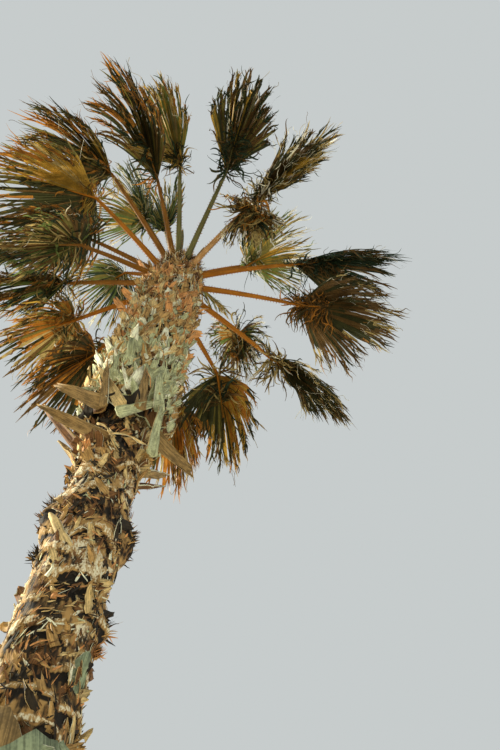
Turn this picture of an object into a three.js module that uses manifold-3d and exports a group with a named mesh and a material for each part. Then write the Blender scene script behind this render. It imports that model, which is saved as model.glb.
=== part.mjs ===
// A fan palm: one straight trunk, a column of old leaf bases round its upper part, and a crown of fans.
// Millimetres, +Z up, origin at the middle of the trunk's flat cut at ground level.
// Turns are degrees about +Z from +X, and rises are degrees above the horizon.
import * as THREE from "three";
import { mergeVertices } from "three/addons/utils/BufferGeometryUtils.js";
import Module from "manifold-3d";

const wasm = await Module();
wasm.setup();

// Driving dimensions
const budHeight = 9350;
const trunkRadius = 191;
const footFlare = 165;
const flareHeight = 450;
const trunkSides = 16;
const ringStep = 640;
const leastRingStep = 100;
const domeBelowBud = 350;
const domeHeight = 480;
const leanAtTop = 50;
const bow = 36;
const clearance = 0.6;

// The column of old leaf bases
const columnFoot = 5780;
const columnPitch = 590;
const columnRings = 6;
const ringGap = 4;
const sleeveWall = 26;
const plankInset = 21;
const basesPerRow = 6;
const baseLength = 410;
const baseWidth = 165;
const baseThickness = 34;
const headReach = 900;
const brokenStalks = 9;
const brokenLength = 470;
const brokenReach = 280;

// The fans. Shares are of a ray's length, from the hub to its tip.
const fingers = 10;
const bladeThickness = 13;
const shares = [0, 0.48, 0.7, 0.87, 1];
const edgeOpening = 0.4;
const edgeLoss = 0.36;
const fullSpread = 108;
const fingerWide = 0.48;
const fingerSlim = 0.34;
const fullReaches = [0.93, 1.04];
const shorterReaches = [1, 0.84, 0.7];
const stalkWidth = 104;
const stalkTipWidth = 56;
const stalkThickness = 46;
const stalkArch = 0.05;
const ribShare = 0.22;
const footRadius = 120;

const colours = {
  bark: 0x7a6248,
  leafBase: 0xa08c6a,
  blade: 0x7d6a35,
  spear: 0x8a8a45,
};

// Each frond in the order it is placed. drop is how far its foot is below the bud; turn, rise and
// stalk aim its stalk; swing and nod turn the blade from the stalk's line; blade is its length,
// spread the angle of its outer rays, fold how far its halves close, and droop how much it hangs.
const frondFields = ["drop", "turn", "rise", "stalk", "swing", "nod", "blade", "spread", "fold", "droop"];
const frondTable = [
  [300, -135, 15, 1240, -25, 30, 1380, 100, 15, 0.8],
  [50, -125, 18, 1330, -8, 20, 1220, 66, 35, 1.1],
  [100, -105, 35, 1180, 0, 30, 1450, 52, 45, 1.1],
  [50, -90, 34, 1280, -18, 2, 1080, 28, 35, 0.9],
  [150, -63, 25, 1310, -11, 0, 1160, 38, 40, 1.0],
  [50, -138, 55, 1010, 0, 5, 880, 85, 35, 0.9],
  [0, -128, 66, 900, 30, 0, 820, 80, 50, 0.9],
  [150, -38, 36, 1180, -3, 16, 1440, 17, 40, 0.8],
  [250, -43, 20, 1080, 45, 60, 850, 80, 50, 1.7],
  [150, -3, 14, 1340, 1, 3, 1340, 30, 45, 1.0],
  [100, 7, 45, 1090, -24, 2, 1020, 80, 25, 0.9],
  [350, 12, 6, 1390, -11, 18, 1190, 92, 20, 0.7],
  [450, 30, -24, 1300, -4, 6, 1130, 20, 40, 0.7],
  [350, 47, 19, 1030, 40, 75, 820, 90, 45, 1.5],
  [750, 63, 3, 1020, 17, 40, 1120, 62, 35, 1.0],
  [750, 92, -3, 1080, -8, 38, 1200, 85, 35, 0.9],
  [350, 180, 2, 1190, 14, 30, 1100, 85, 45, 1.2],
  [100, 168, 42, 960, -22, 15, 880, 85, 30, 1.1],
  [550, 172, -30, 1070, 8, 14, 1060, 85, 30, 0.8],
  [650, 152, -43, 1050, 9, 4, 1080, 75, 40, 0.7],
  [250, -157, 14, 1080, 2, 32, 1150, 85, 40, 1.2],
  [400, -148, -20, 1110, -26, 4, 1050, 80, 35, 1.1],
  [350, 108, 28, 1000, 0, 14, 1000, 90, 35, 1.1],
  [500, 128, 4, 1050, 0, 22, 1000, 90, 35, 1.1],
  [0, 80, 68, 850, 0, 6, 850, 85, 45, 0.8],
  [0, 132, 70, 850, 0, 4, 820, 80, 50, 0.8],
].map((row) => Object.fromEntries(frondFields.map((field, i) => [field, row[i]])));

// Swellings where rings of old leaf bases were shed: height, how far they stand out, half height.
const swellings = [
  { at: 5350, out: 14, reach: 160 },
  { at: 4680, out: 22, reach: 190 },
  { at: 3400, out: 18, reach: 200 },
  { at: 2350, out: 22, reach: 180 },
  { at: 1500, out: 16, reach: 200 },
];

// Rings of short stubs on the bare trunk: the sleeve's ends, the stubs' height, the turns that they
// take up, and the tilt that lifts them on the -X side.
const stubRings = [
  { from: 2250, to: 2450, at: 2350, count: 5, first: 0, span: 360, tilt: 0 },
  { from: 3280, to: 3480, at: 3390, count: 5, first: 130, span: 200, tilt: 0 },
  { from: 4520, to: 4820, at: 4640, count: 7, first: 0, span: 360, tilt: 110 },
];

// Unopened leaves standing on the bud, and their half width along their length
const spearProfile = [[0, 30], [0.42, 17], [0.55, 34], [0.8, 26], [1, 3]];
const spearSides = 6;
const spearTable = [
  { turn: 150, rise: 80, length: 1750 },
  { turn: 20, rise: 84, length: 1500 },
  { turn: -100, rise: 82, length: 1250 },
];

const up = new THREE.Vector3(0, 0, 1);
const { cos, sin, exp, max, min, abs, PI } = Math;

// A number from 0 up to 1 that depends only on the seed and the places it is asked for.
function chance(...place) {
  let h = 2166136261;
  for (const n of place) h = Math.imul(h ^ Math.round(n + 977), 16777619);
  h = Math.imul(h ^ (h >>> 15), 2246822507);
  h = Math.imul(h ^ (h >>> 13), 3266489909);
  return ((h ^ (h >>> 16)) >>> 0) / 4294967296;
}

function between(low, high, ...place) {
  return low + (high - low) * chance(...place);
}

function heading(turn, rise) {
  const t = THREE.MathUtils.degToRad(turn);
  const r = THREE.MathUtils.degToRad(rise);
  return new THREE.Vector3(cos(t) * cos(r), sin(t) * cos(r), sin(r));
}

function step(from, direction, distance) {
  return from.clone().addScaledVector(direction, distance);
}

// A solid from points and triangles, turned the right way out.
function solidFrom(points, faces) {
  let volume = 0;
  for (const [a, b, c] of faces) volume += points[a].dot(points[b].clone().cross(points[c]));
  const turned = volume < 0 ? faces.map(([a, b, c]) => [a, c, b]) : faces;
  return new wasm.Manifold(
    new wasm.Mesh({
      numProp: 3,
      vertProperties: new Float32Array(points.flatMap((p) => [p.x, p.y, p.z])),
      triVerts: new Uint32Array(turned.flat()),
    }),
  );
}

// A closed skin over rings of points, each ring with the same count.
function loft(rings) {
  const n = rings[0].length;
  const last = (rings.length - 1) * n;
  const faces = [];
  for (let i = 0; i < last; i += n)
    for (let j = 0; j < n; j++) {
      const k = (j + 1) % n;
      faces.push([i + j, i + k, i + n + k], [i + j, i + n + k, i + n + j]);
    }
  for (let j = 1; j + 1 < n; j++) faces.push([0, j + 1, j], [last, last + j, last + j + 1]);
  return solidFrom(rings.flat(), faces);
}

// A sheet of triangles given a thickness, with walls along its open edges. Those edges are first
// moved outwards by the outset.
function thicken(points, faces, thickness, outset = 0) {
  const normals = points.map(() => new THREE.Vector3());
  const used = new Set();
  for (const [a, b, c] of faces) {
    const n = points[b].clone().sub(points[a]).cross(points[c].clone().sub(points[a]));
    for (const i of [a, b, c]) normals[i].add(n);
    for (const [i, j] of [[a, b], [b, c], [c, a]]) used.add(i + "_" + j);
  }
  const open = [...used].map((e) => e.split("_").map(Number)).filter(([a, b]) => !used.has(b + "_" + a));
  const outwards = points.map(() => new THREE.Vector3());
  for (const [a, b] of open) {
    const away = points[b].clone().sub(points[a]).cross(normals[a]).setLength(outset);
    for (const i of [a, b]) outwards[i].add(away);
  }
  const sheet = points.map((p, i) => p.clone().add(outwards[i]));
  normals.forEach((n) => n.setLength(thickness / 2));
  const top = sheet.map((p, i) => p.clone().add(normals[i]));
  const under = sheet.map((p, i) => p.clone().sub(normals[i]));
  const n = points.length;
  const all = faces.flatMap(([a, b, c]) => [[a, b, c], [a + n, c + n, b + n]]);
  for (const [a, b] of open) all.push([b, a, a + n], [b, a + n, b + n]);
  return solidFrom([...top, ...under], all);
}

function largestPiece(solid) {
  const pieces = solid.decompose();
  return pieces.reduce((best, p) => (p.volume() > best.volume() ? p : best), pieces[0]);
}

function boxesMeet(a, b) {
  const p = a.boundingBox();
  const q = b.boundingBox();
  return [0, 1, 2].every((i) => p.min[i] < q.max[i] && q.min[i] < p.max[i]);
}

function cutClear(solid, others) {
  let left = solid;
  for (const other of others) if (boxesMeet(left, other)) left = left.subtract(other);
  return largestPiece(left);
}

function touches(solid, others) {
  return others.some((other) => boxesMeet(solid, other) && solid.intersect(other).volume() > 0);
}

// Trunk

function axisAt(z) {
  const share = z / budHeight;
  const x = leanAtTop * share ** 3 - bow * sin(PI * share);
  return new THREE.Vector3(x, 0.35 * x, z);
}

function trunkRadiusAt(z, angle) {
  const below = min(1, z / columnFoot);
  const above = max(0, (z - columnFoot) / (budHeight - columnFoot));
  const taper = 1.04 - 0.14 * below - 0.12 * above;
  const flare = footFlare * exp(-z / flareHeight) * (1 + 0.16 * cos(5 * angle + 0.7));
  const swell = swellings.reduce((sum, s) => sum + s.out * exp(-(((z - s.at) / s.reach) ** 2)), 0);
  return trunkRadius * taper + flare + swell * (1 + 0.35 * cos(2 * angle + z / 400));
}

function trunkRing(z, radiusOf) {
  const centre = axisAt(z);
  return Array.from({ length: trunkSides }, (_, i) => {
    const angle = (2 * PI * i) / trunkSides;
    const r = radiusOf(angle);
    return new THREE.Vector3(centre.x + r * cos(angle), centre.y + r * sin(angle), z);
  });
}

// The whole trunk from its flat cut to the domed bud, with grow added all round.
function trunkSolid(grow) {
  const neck = budHeight - domeBelowBud;
  const heights = [0, 120, 260, 430, 640, 900];
  for (let z = 1200; z < neck; z += ringStep) heights.push(z);
  for (const s of swellings) heights.push(s.at - 0.8 * s.reach, s.at, s.at + 0.8 * s.reach);
  const rings = heights
    .sort((a, b) => a - b)
    .filter((z, i) => i === 0 || z - heights[i - 1] > leastRingStep)
    .map((z) => trunkRing(z, (a) => trunkRadiusAt(z, a) + grow));
  for (const share of [0, 0.35, 0.62, 0.82, 0.95]) {
    const z = neck + domeHeight * share;
    rings.push(trunkRing(z, (a) => trunkRadiusAt(neck, a) * Math.sqrt(1 - share * share) + grow));
  }
  return loft(rings);
}

// Leaf bases

// One woody plank that leans out from the sleeve, narrower and thinner at its tip.
function plank({ z, turn, lean, length, width, thickness, twist }) {
  const out = heading(turn, 0);
  const radius = trunkRadiusAt(z, THREE.MathUtils.degToRad(turn)) + plankInset;
  const foot = step(axisAt(z), out, radius);
  const direction = heading(turn, 90 - lean);
  const across = new THREE.Vector3().crossVectors(up, out).applyAxisAngle(direction, twist);
  const face = new THREE.Vector3().crossVectors(across, direction);
  const section = (t, wide, thick) => {
    const w = (wide * width) / 2;
    const h = (thick * thickness) / 2;
    const corners = [[-w, -h], [w, -h], [w, h], [-w, h]];
    return corners.map(([a, b]) => step(step(step(foot, direction, t * length), across, a), face, b));
  };
  return loft([section(0, 1, 1), section(1, 0.52, 0.4)]);
}

function sleeve(from, to, grow) {
  const heights = [from - grow, (from + to) / 2, to + grow];
  return loft(heights.map((z) => trunkRing(z, (a) => trunkRadiusAt(z, a) + sleeveWall + grow)));
}

// A ring of planks fused to a thin sleeve round the trunk. A plank in another solid's way is left out.
function baseRing({ from, to, planks }, trunkGrown, others) {
  let ring = sleeve(from, to, 0);
  for (const shape of planks) {
    const one = plank(shape);
    if (!touches(one, others)) ring = ring.add(one);
  }
  return cutClear(ring, [trunkGrown, ...others]);
}

// The planks of one ring of the column: two staggered rows, shorter near the head.
function columnPlanks(k) {
  const from = columnFoot + k * columnPitch;
  const planks = [];
  for (let row = 0; row < 2; row++)
    for (let i = 0; i < basesPerRow; i++) {
      const z = from + columnPitch * (0.12 + 0.5 * row) + between(-25, 25, k, row, i);
      const head = max(0, 1 - (budHeight - z) / headReach);
      planks.push({
        z,
        turn: ((i + 0.5 * row + 0.23 * k) * 360) / basesPerRow + between(-7, 7, k, row, i, 1),
        lean: between(27, 37, k, row, i, 2),
        length: baseLength * between(0.85, 1.1, k, row, i, 3) * (1 - 0.4 * head),
        width: baseWidth * between(0.85, 1.05, k, row, i, 4),
        thickness: baseThickness,
        twist: between(-0.25, 0.25, k, row, i, 5),
      });
    }
  return planks;
}

// Long broken leaf stalks that stick out of the column's foot.
function brokenPlanks() {
  return Array.from({ length: brokenStalks }, (_, i) => ({
    z: columnFoot - 130 + between(-60, 60, 70, i),
    turn: 200 + (i * 360) / brokenStalks + between(-10, 10, 71, i),
    lean: between(36, 64, 72, i),
    length: brokenLength * between(0.75, 1.15, 73, i),
    width: 105,
    thickness: 40,
    twist: between(-0.5, 0.5, 74, i),
  }));
}

// Short split stubs left on the bare trunk round one of its swellings, higher on one side by a tilt.
function stubPlanks({ at, count, first, span, tilt }) {
  return Array.from({ length: count }, (_, i) => {
    const turn = first + (i * span) / count + between(-14, 14, at, i, 1);
    return {
      z: at - tilt * cos(THREE.MathUtils.degToRad(turn)) + between(-40, 40, at, i),
      turn,
      lean: between(12, 26, at, i, 2),
      length: between(110, 190, at, i, 3),
      width: 110,
      thickness: 26,
      twist: between(-0.4, 0.4, at, i, 4),
    };
  });
}

// Fronds

// Where a frond's stalk starts and ends, and the frame of its blade.
function frondFrame(f) {
  const axis = axisAt(budHeight - f.drop);
  const hub = step(axis, heading(f.turn, f.rise), f.stalk);
  const foot = step(axis, heading(f.turn, 0), footRadius * cos(THREE.MathUtils.degToRad(f.rise)));
  const along = heading(f.turn + f.swing, f.rise - f.nod);
  const side = new THREE.Vector3().crossVectors(along, up).normalize();
  const normal = new THREE.Vector3().crossVectors(side, along);
  return { foot, hub, along, side, normal };
}

// A stalk: a flat tapering limb that arches a little from its foot to the hub.
function stalkSolid(f, grow) {
  const { foot, hub, along } = frondFrame(f);
  const middle = foot.clone().add(hub).multiplyScalar(0.5).addScaledVector(up, stalkArch * f.stalk);
  const curve = new THREE.QuadraticBezierCurve3(foot, middle, hub);
  const rings = [0, 0.3, 0.65, 1].map((t) => {
    const direction = curve.getTangent(t);
    const side = new THREE.Vector3().crossVectors(direction, up).normalize();
    const normal = new THREE.Vector3().crossVectors(side, direction);
    const w = (stalkWidth + (stalkTipWidth - stalkWidth) * t) / 2 + grow;
    const h = (stalkThickness * (1 - 0.35 * t)) / 2 + grow;
    const p = curve.getPoint(t);
    return [
      step(p, side, w),
      step(p, normal, h),
      step(p, side, -w),
      step(p, normal, -h),
    ];
  });
  const rib = step(hub, along, ribShare * f.blade);
  rings.push(rings[3].map((p) => p.clone().sub(hub).multiplyScalar(0.35).add(rib)));
  return loft(rings);
}

// Points along one ray of the fan, which droops under its weight. Its place runs from -1 to 1
// across the fan: the rays stand wider apart and grow shorter towards the edges.
function rayPoints(f, place, reach) {
  const frame = frondFrame(f);
  const outward = abs(place);
  const wide = f.spread * outward * (1 + edgeOpening * outward ** 3);
  const angle = Math.sign(place) * THREE.MathUtils.degToRad(min(fullSpread, wide));
  const fold = THREE.MathUtils.degToRad(f.fold);
  const direction = frame.along.clone().multiplyScalar(cos(angle))
    .addScaledVector(frame.side, sin(angle) * cos(fold))
    .addScaledVector(frame.normal, -abs(sin(angle)) * sin(fold))
    .normalize();
  const length = f.blade * (1 - edgeLoss * outward ** 2) * reach;
  const points = [frame.hub.clone()];
  for (let i = 1; i < shares.length; i++) {
    const middle = (shares[i] + shares[i - 1]) / 2;
    const weight = f.droop * max(0, middle - 0.2) ** 1.4 * (1 + 0.6 * outward);
    const bent = direction.clone().addScaledVector(up, -weight).normalize();
    points.push(step(points[i - 1], bent, (shares[i] - shares[i - 1]) * length));
  }
  return points;
}

// The place across the fan of a ray counted in fingers from its first edge.
function placeOf(k) {
  return (2 * k) / fingers - 1;
}

// The fan as one sheet: a whole plate from the hub to the splits, then a tapering finger for each
// ray. reaches holds each finger's share of its full length, and 0 leaves a blunt end at the split.
function fanSheet(f, reaches) {
  const points = [frondFrame(f).hub];
  const faces = [];
  for (let k = 0; k <= fingers; k++) {
    const reach = (reaches[max(0, k - 1)] + reaches[min(fingers - 1, k)]) / 2;
    points.push(rayPoints(f, placeOf(k), max(0.8, reach))[1]);
  }
  for (let k = 0; k < fingers; k++) {
    const a = k + 1;
    const b = k + 2;
    faces.push([0, b, a]);
    if (reaches[k] === 0) continue;
    const ray = rayPoints(f, placeOf(k + 0.5), reaches[k]);
    const across = points[b].clone().sub(points[a]);
    const n = points.length;
    points.push(step(ray[2], across, -fingerWide), step(ray[2], across, fingerWide));
    points.push(step(ray[3], across, -fingerSlim), step(ray[3], across, fingerSlim), ray[4]);
    faces.push([a, b, n + 1], [a, n + 1, n], [n, n + 1, n + 3], [n, n + 3, n + 2], [n + 2, n + 3, n + 4]);
  }
  return { points, faces };
}

// One finger alone, thickened a little more than the blade, to test where it would touch.
function fingerProbe(f, k, reach) {
  const left = rayPoints(f, placeOf(k), 1)[1];
  const right = rayPoints(f, placeOf(k + 1), 1)[1];
  const ray = rayPoints(f, placeOf(k + 0.5), reach);
  const across = right.clone().sub(left);
  const points = [
    left, right,
    step(ray[2], across, -fingerWide), step(ray[2], across, fingerWide),
    step(ray[3], across, -fingerSlim), step(ray[3], across, fingerSlim),
    ray[4],
  ];
  const faces = [[0, 1, 3], [0, 3, 2], [2, 3, 5], [2, 5, 4], [4, 5, 6]];
  return thicken(points, faces, bladeThickness + 6);
}

// The longest reach at which each finger is clear of the solids already placed.
function clearReaches(f, number, others) {
  return Array.from({ length: fingers }, (_, k) => {
    const full = between(...fullReaches, number, k);
    const isClear = (share) => !touches(fingerProbe(f, k, full * share), others);
    return full * (shorterReaches.find(isClear) ?? 0);
  });
}

function fanSolid(f, reaches, grow) {
  const { points, faces } = fanSheet(f, reaches);
  return thicken(points, faces, bladeThickness + 2 * grow, grow);
}

// Every stalk is cut clear of the core and of the stalks before it. Every fan is cut clear of the
// core and of all the other stalks, and then of the fans before it.
function makeFronds(core, sleeves) {
  const stalksGrown = frondTable.map((f) => stalkSolid(f, clearance));
  const made = [];
  frondTable.forEach((f, i) => {
    const placed = made.map((m) => m.grown);
    const obstacles = [...core, ...stalksGrown.filter((_, j) => j !== i)];
    const reaches = clearReaches(f, i, [...obstacles, ...placed]);
    const fan = cutClear(fanSolid(f, reaches, 0), obstacles);
    const stalk = cutClear(stalkSolid(f, 0), [...core, ...stalksGrown.slice(0, i)]);
    const solid = cutClear(stalk.add(fan), placed);
    const grown = fanSolid(f, reaches, clearance).add(cutClear(stalksGrown[i], sleeves));
    made.push({ solid, grown });
  });
  return made;
}

function spearSolid(s, grow) {
  const foot = axisAt(budHeight - 60);
  const direction = heading(s.turn, s.rise);
  const side = new THREE.Vector3().crossVectors(direction, up).normalize();
  const normal = new THREE.Vector3().crossVectors(side, direction);
  const start = step(foot, heading(s.turn, 0), 60);
  return loft(spearProfile.map(([t, radius]) => {
    const middle = step(start, direction, t * s.length);
    const r = radius + grow;
    return Array.from({ length: spearSides }, (_, i) => {
      const a = (2 * PI * i) / spearSides;
      return step(step(middle, side, r * cos(a)), normal, 0.6 * r * sin(a));
    });
  }));
}

// Assembly

// A mesh whose own origin is at the given place.
function meshAt(place, name, solid, colour, roughness) {
  const mesh = solid.getMesh();
  const geometry = new THREE.BufferGeometry();
  geometry.setAttribute("position", new THREE.BufferAttribute(mesh.vertProperties, 3));
  geometry.setIndex(new THREE.BufferAttribute(mesh.triVerts, 1));
  const merged = mergeVertices(geometry, 1e-3);
  merged.translate(-place.x, -place.y, -place.z);
  const material = new THREE.MeshStandardMaterial({ color: colour, roughness, metalness: 0 });
  const made = new THREE.Mesh(merged, material);
  made.name = name;
  made.position.copy(place);
  return made;
}

// The rings of planks from the ground up, the last of them round the head.
function ringShapes() {
  const stubs = stubRings.map((ring, i) => {
    return { name: `trunk_stubs_${i + 1}`, from: ring.from, to: ring.to, planks: stubPlanks(ring) };
  });
  const broken = {
    name: "broken_stalks",
    from: columnFoot - brokenReach,
    to: columnFoot - ringGap,
    planks: brokenPlanks(),
  };
  const column = Array.from({ length: columnRings }, (_, k) => {
    const from = columnFoot + k * columnPitch;
    return { name: `leaf_bases_${k + 1}`, from, to: from + columnPitch - ringGap, planks: columnPlanks(k) };
  });
  return [...stubs, broken, ...column];
}

const palm = new THREE.Group();
const stem = new THREE.Group();
const crown = new THREE.Group();
palm.add(stem, crown);

const trunkGrown = trunkSolid(clearance);
stem.add(meshAt(axisAt(0), "trunk", trunkSolid(0), colours.bark, 0.95));

const rings = ringShapes();
const core = [trunkGrown, ...rings.map((ring) => sleeve(ring.from, ring.to, clearance))];
const sleeves = rings.map((ring) => sleeve(ring.from, ring.to, clearance / 2));
const fronds = makeFronds(core, sleeves);
const taken = fronds.map((f) => f.grown);
fronds.forEach((f, i) => {
  const name = `frond_${String(i + 1).padStart(2, "0")}`;
  crown.add(meshAt(frondFrame(frondTable[i]).foot, name, f.solid, colours.blade, 0.6));
});

spearTable.forEach((s, i) => {
  const solid = cutClear(spearSolid(s, 0), [...core, ...taken]);
  taken.push(spearSolid(s, clearance));
  crown.add(meshAt(axisAt(budHeight), `spear_${i + 1}`, solid, colours.spear, 0.6));
});

for (const ring of rings) {
  const solid = baseRing(ring, trunkGrown, taken);
  taken.push(solid);
  stem.add(meshAt(axisAt(ring.from), ring.name, solid, colours.leafBase, 0.9));
}

export default palm;
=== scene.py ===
"""A fan palm: bark, old leaf bases, stalks and fans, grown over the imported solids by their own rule."""

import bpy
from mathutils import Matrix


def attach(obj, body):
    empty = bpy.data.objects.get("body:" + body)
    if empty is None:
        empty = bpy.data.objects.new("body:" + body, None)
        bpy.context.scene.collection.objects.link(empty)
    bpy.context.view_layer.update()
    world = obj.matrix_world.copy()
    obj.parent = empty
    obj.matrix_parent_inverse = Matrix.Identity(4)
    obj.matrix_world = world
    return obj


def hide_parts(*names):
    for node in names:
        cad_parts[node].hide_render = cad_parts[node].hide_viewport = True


bl_info = {
    "name": "Fan palm",
    "version": (1, 0, 0),
    "blender": (4, 5, 0),
    "location": "3D View > Sidebar > Palm",
    "description": "Bark, leaf bases, stalks, fans and threads of a fan palm",
    "category": "Object",
}

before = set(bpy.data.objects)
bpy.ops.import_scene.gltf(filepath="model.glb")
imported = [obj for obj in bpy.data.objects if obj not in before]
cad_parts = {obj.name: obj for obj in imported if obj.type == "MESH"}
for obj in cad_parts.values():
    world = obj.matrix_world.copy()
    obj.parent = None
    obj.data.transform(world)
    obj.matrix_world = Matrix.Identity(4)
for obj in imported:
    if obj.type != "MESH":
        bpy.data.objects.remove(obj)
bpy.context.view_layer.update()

from collections import namedtuple
from math import pi, radians

import bpy
import numpy as np

UP = np.array([0.0, 0.0, 1.0])

# The trunk, as the solids have it, in metres
BUD = 9.35
TRUNK_RADIUS = 0.191
FOOT_FLARE = 0.165
FLARE_HEIGHT = 0.45
LEAN_AT_TOP = 0.05
BOW = 0.036
NECK = 9.0
DOME_HEIGHT = 0.48

# The column of leaf bases: its foot, how far it stands out from the trunk, how far below the bud it
# starts to narrow, and how much the trunk's mesh stays inside half of it. Then the top and height of
# the mat of fibres, and the heights below which the bases are grey-green and tan.
COLUMN_FOOT = 5.78
COLUMN_REACH = 0.165
HEAD_REACH = 0.9
SLEEVE_SINK = 0.02
MAT_TOP = 9.42
MAT_HEIGHT = 3.7
LOW_BASES = 6.9
HIGH_BASES = 8.2

# The bark's relief: how high up it is at full strength, the steps over the bud, the height between
# rows of old clasping bases and the turn from one row to the next
QUIET_HEIGHT = 0.05
DOME_STEPS = 12
SCALE_PITCH = 0.17
SCALE_TURN = 67

# The hollow in front under the column, where the strips are dark as painted shade: turn, half width in
# degrees, height and half height.
# Then the heights between which flakes peel, the turn and half width of the front, and the height
# that they stay below there.
SHADED_HOLLOW = (285, 50, 5.5, 0.2)
FLAKE_HEIGHTS = (5.12, 5.66)
FLAKE_FRONT = (290, 40)
LOW_FLAKES = 5.28

# The first random numbers of each piece. Each fan adds its own number.
SEEDS = {"bark": 1, "scraps": 11, "bases": 23, "broken": 31, "spears": 41, "fans": 100, "thorns": 5}

# The stalks and blades, as the solids have them
STALK_ROOT = 0.12
STALK_ARCH = 0.08
RIB_SHARE = 0.22
OUTER_SHORTER = 0.36
WIDEST_RAY = 108

# The stage: half the floor's side, the camera's place, tilt from level and lens, the sun's turns,
# strength, size and colour, and the sky's strength
FLOOR_REACH = 14.0
CAMERA_PLACE = (0.8465, -2.4583, 1.5)
CAMERA_TILT = 64.68
CAMERA_LENS = 35
CAMERA_REACH = 200
SUN_TURNS = (-9, -57, 0)
SUN_STRENGTH = 8.5
SUN_SIZE = 0.09
SUN_COLOUR = (1.0, 0.94, 0.76)
SKY_STRENGTH = 0.72

# Height, how far it stands out and half height of each swelling where old leaf bases were shed
SWELLINGS = (
    (5.35, 0.014, 0.16),
    (4.68, 0.022, 0.19),
    (3.40, 0.018, 0.20),
    (2.35, 0.022, 0.18),
    (1.50, 0.016, 0.20),
)

# Bumps, hollows and pale and dark spots of the bark: turn, height, half width in degrees, half height,
# how far it stands out, and how pale (above nought) or dark (below) it is. The dark in the hollows is
# painted shade.
BARK_SPOTS = (
    (-75, 5.50, 50, 0.15, -0.03, -1.6),
    (150, 5.45, 70, 0.15, -0.01, -0.8),
    (-125, 5.05, 25, 0.14, 0.015, 0.9),
    (-80, 4.66, 62, 0.10, -0.015, -1.0),
    (-155, 4.70, 15, 0.14, 0.055, -0.4),
    (15, 4.61, 17, 0.10, 0.060, -0.7),
    (-62, 4.34, 22, 0.06, 0.012, 0.9),
    (-35, 4.28, 14, 0.07, 0.015, 0.9),
    (-62, 4.07, 38, 0.05, -0.025, -1.2),
    (14, 4.02, 13, 0.08, 0.045, 0.3),
    (-118, 4.20, 26, 0.10, 0.010, 0.6),
    (-70, 3.82, 26, 0.05, -0.015, -0.8),
    (-40, 3.88, 20, 0.06, 0.012, 0.8),
    (-12, 3.68, 18, 0.07, 0.015, 0.5),
    (-75, 3.56, 34, 0.06, -0.015, -0.9),
    (-140, 3.75, 20, 0.12, 0.010, 0.5),
    (100, 4.90, 40, 0.10, -0.015, -0.8),
    (170, 4.10, 34, 0.12, 0.012, 0.6),
    (70, 3.70, 40, 0.10, -0.015, -0.8),
    (120, 2.60, 38, 0.09, -0.015, -0.9),
    (-60, 2.70, 40, 0.08, -0.015, -0.8),
    (-110, 2.20, 25, 0.10, 0.012, 0.7),
    (20, 1.90, 40, 0.10, -0.015, -0.8),
    (-90, 1.30, 45, 0.08, -0.012, -0.7),
    (140, 1.10, 45, 0.10, -0.012, -0.7),
)

# Broken stalks at the column's foot: turn, height and distance from the bark of both ends,
# width, how far they bend outwards and arch sideways, and tone
BROKEN_STALKS = (
    (-108, 5.70, 0.10, -149, 5.98, 0.30, 0.105, 0.10, 0.0, "olive"),
    (-88, 5.36, 0.0, -150, 5.66, 0.28, 0.105, 0.14, 0.0, "olive"),
    (-82, 5.50, 0.12, -42, 5.77, 0.16, 0.075, 0.04, 0.0, "sage"),
    (-37, 5.70, 0.16, -50, 6.08, 0.18, 0.085, 0.02, 0.0, "sage"),
    (-27, 5.27, 0.11, -37, 5.72, 0.16, 0.078, 0.05, 0.0, "sage"),
    (-58, 5.62, 0.13, -65, 6.03, 0.18, 0.075, 0.03, 0.0, "olive"),
    (-78, 5.60, 0.12, -114, 6.03, 0.19, 0.080, 0.04, 0.0, "sand"),
    (-101, 5.60, 0.12, -106, 6.02, 0.20, 0.060, 0.03, 0.0, "olive"),
    (-78, 5.80, 0.15, -90, 6.02, 0.20, 0.032, 0.05, 0.0, "cream"),
    (-24, 5.56, 0.08, 14, 5.44, 0.30, 0.110, 0.16, 0.0, "olive"),
    (-95, 5.28, 0.16, -79, 5.17, 0.16, 0.011, 0.04, -0.25, "sand"),
    (-80, 5.175, 0.16, -46, 5.19, 0.17, 0.010, 0.04, -0.25, "sand"),
    (44, 5.55, 0.05, 60, 5.95, 0.33, 0.085, 0.04, 0.0, "olive"),
    (78, 5.50, 0.05, 66, 5.90, 0.36, 0.085, 0.04, 0.0, "brown"),
    (80, 5.58, 0.05, 98, 5.98, 0.32, 0.105, 0.04, 0.0, "sage"),
    (115, 5.62, 0.05, 108, 5.93, 0.34, 0.105, 0.04, 0.0, "sand"),
    (140, 5.55, 0.05, 158, 5.95, 0.31, 0.105, 0.04, 0.0, "olive"),
    (175, 5.60, 0.05, 186, 5.98, 0.34, 0.105, 0.04, 0.0, "brown"),
    (150, 5.40, 0.08, 110, 5.70, 0.16, 0.080, 0.04, 0.0, "sage"),
    (60, 5.42, 0.08, 95, 5.72, 0.16, 0.080, 0.04, 0.0, "orange"),
)

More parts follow.
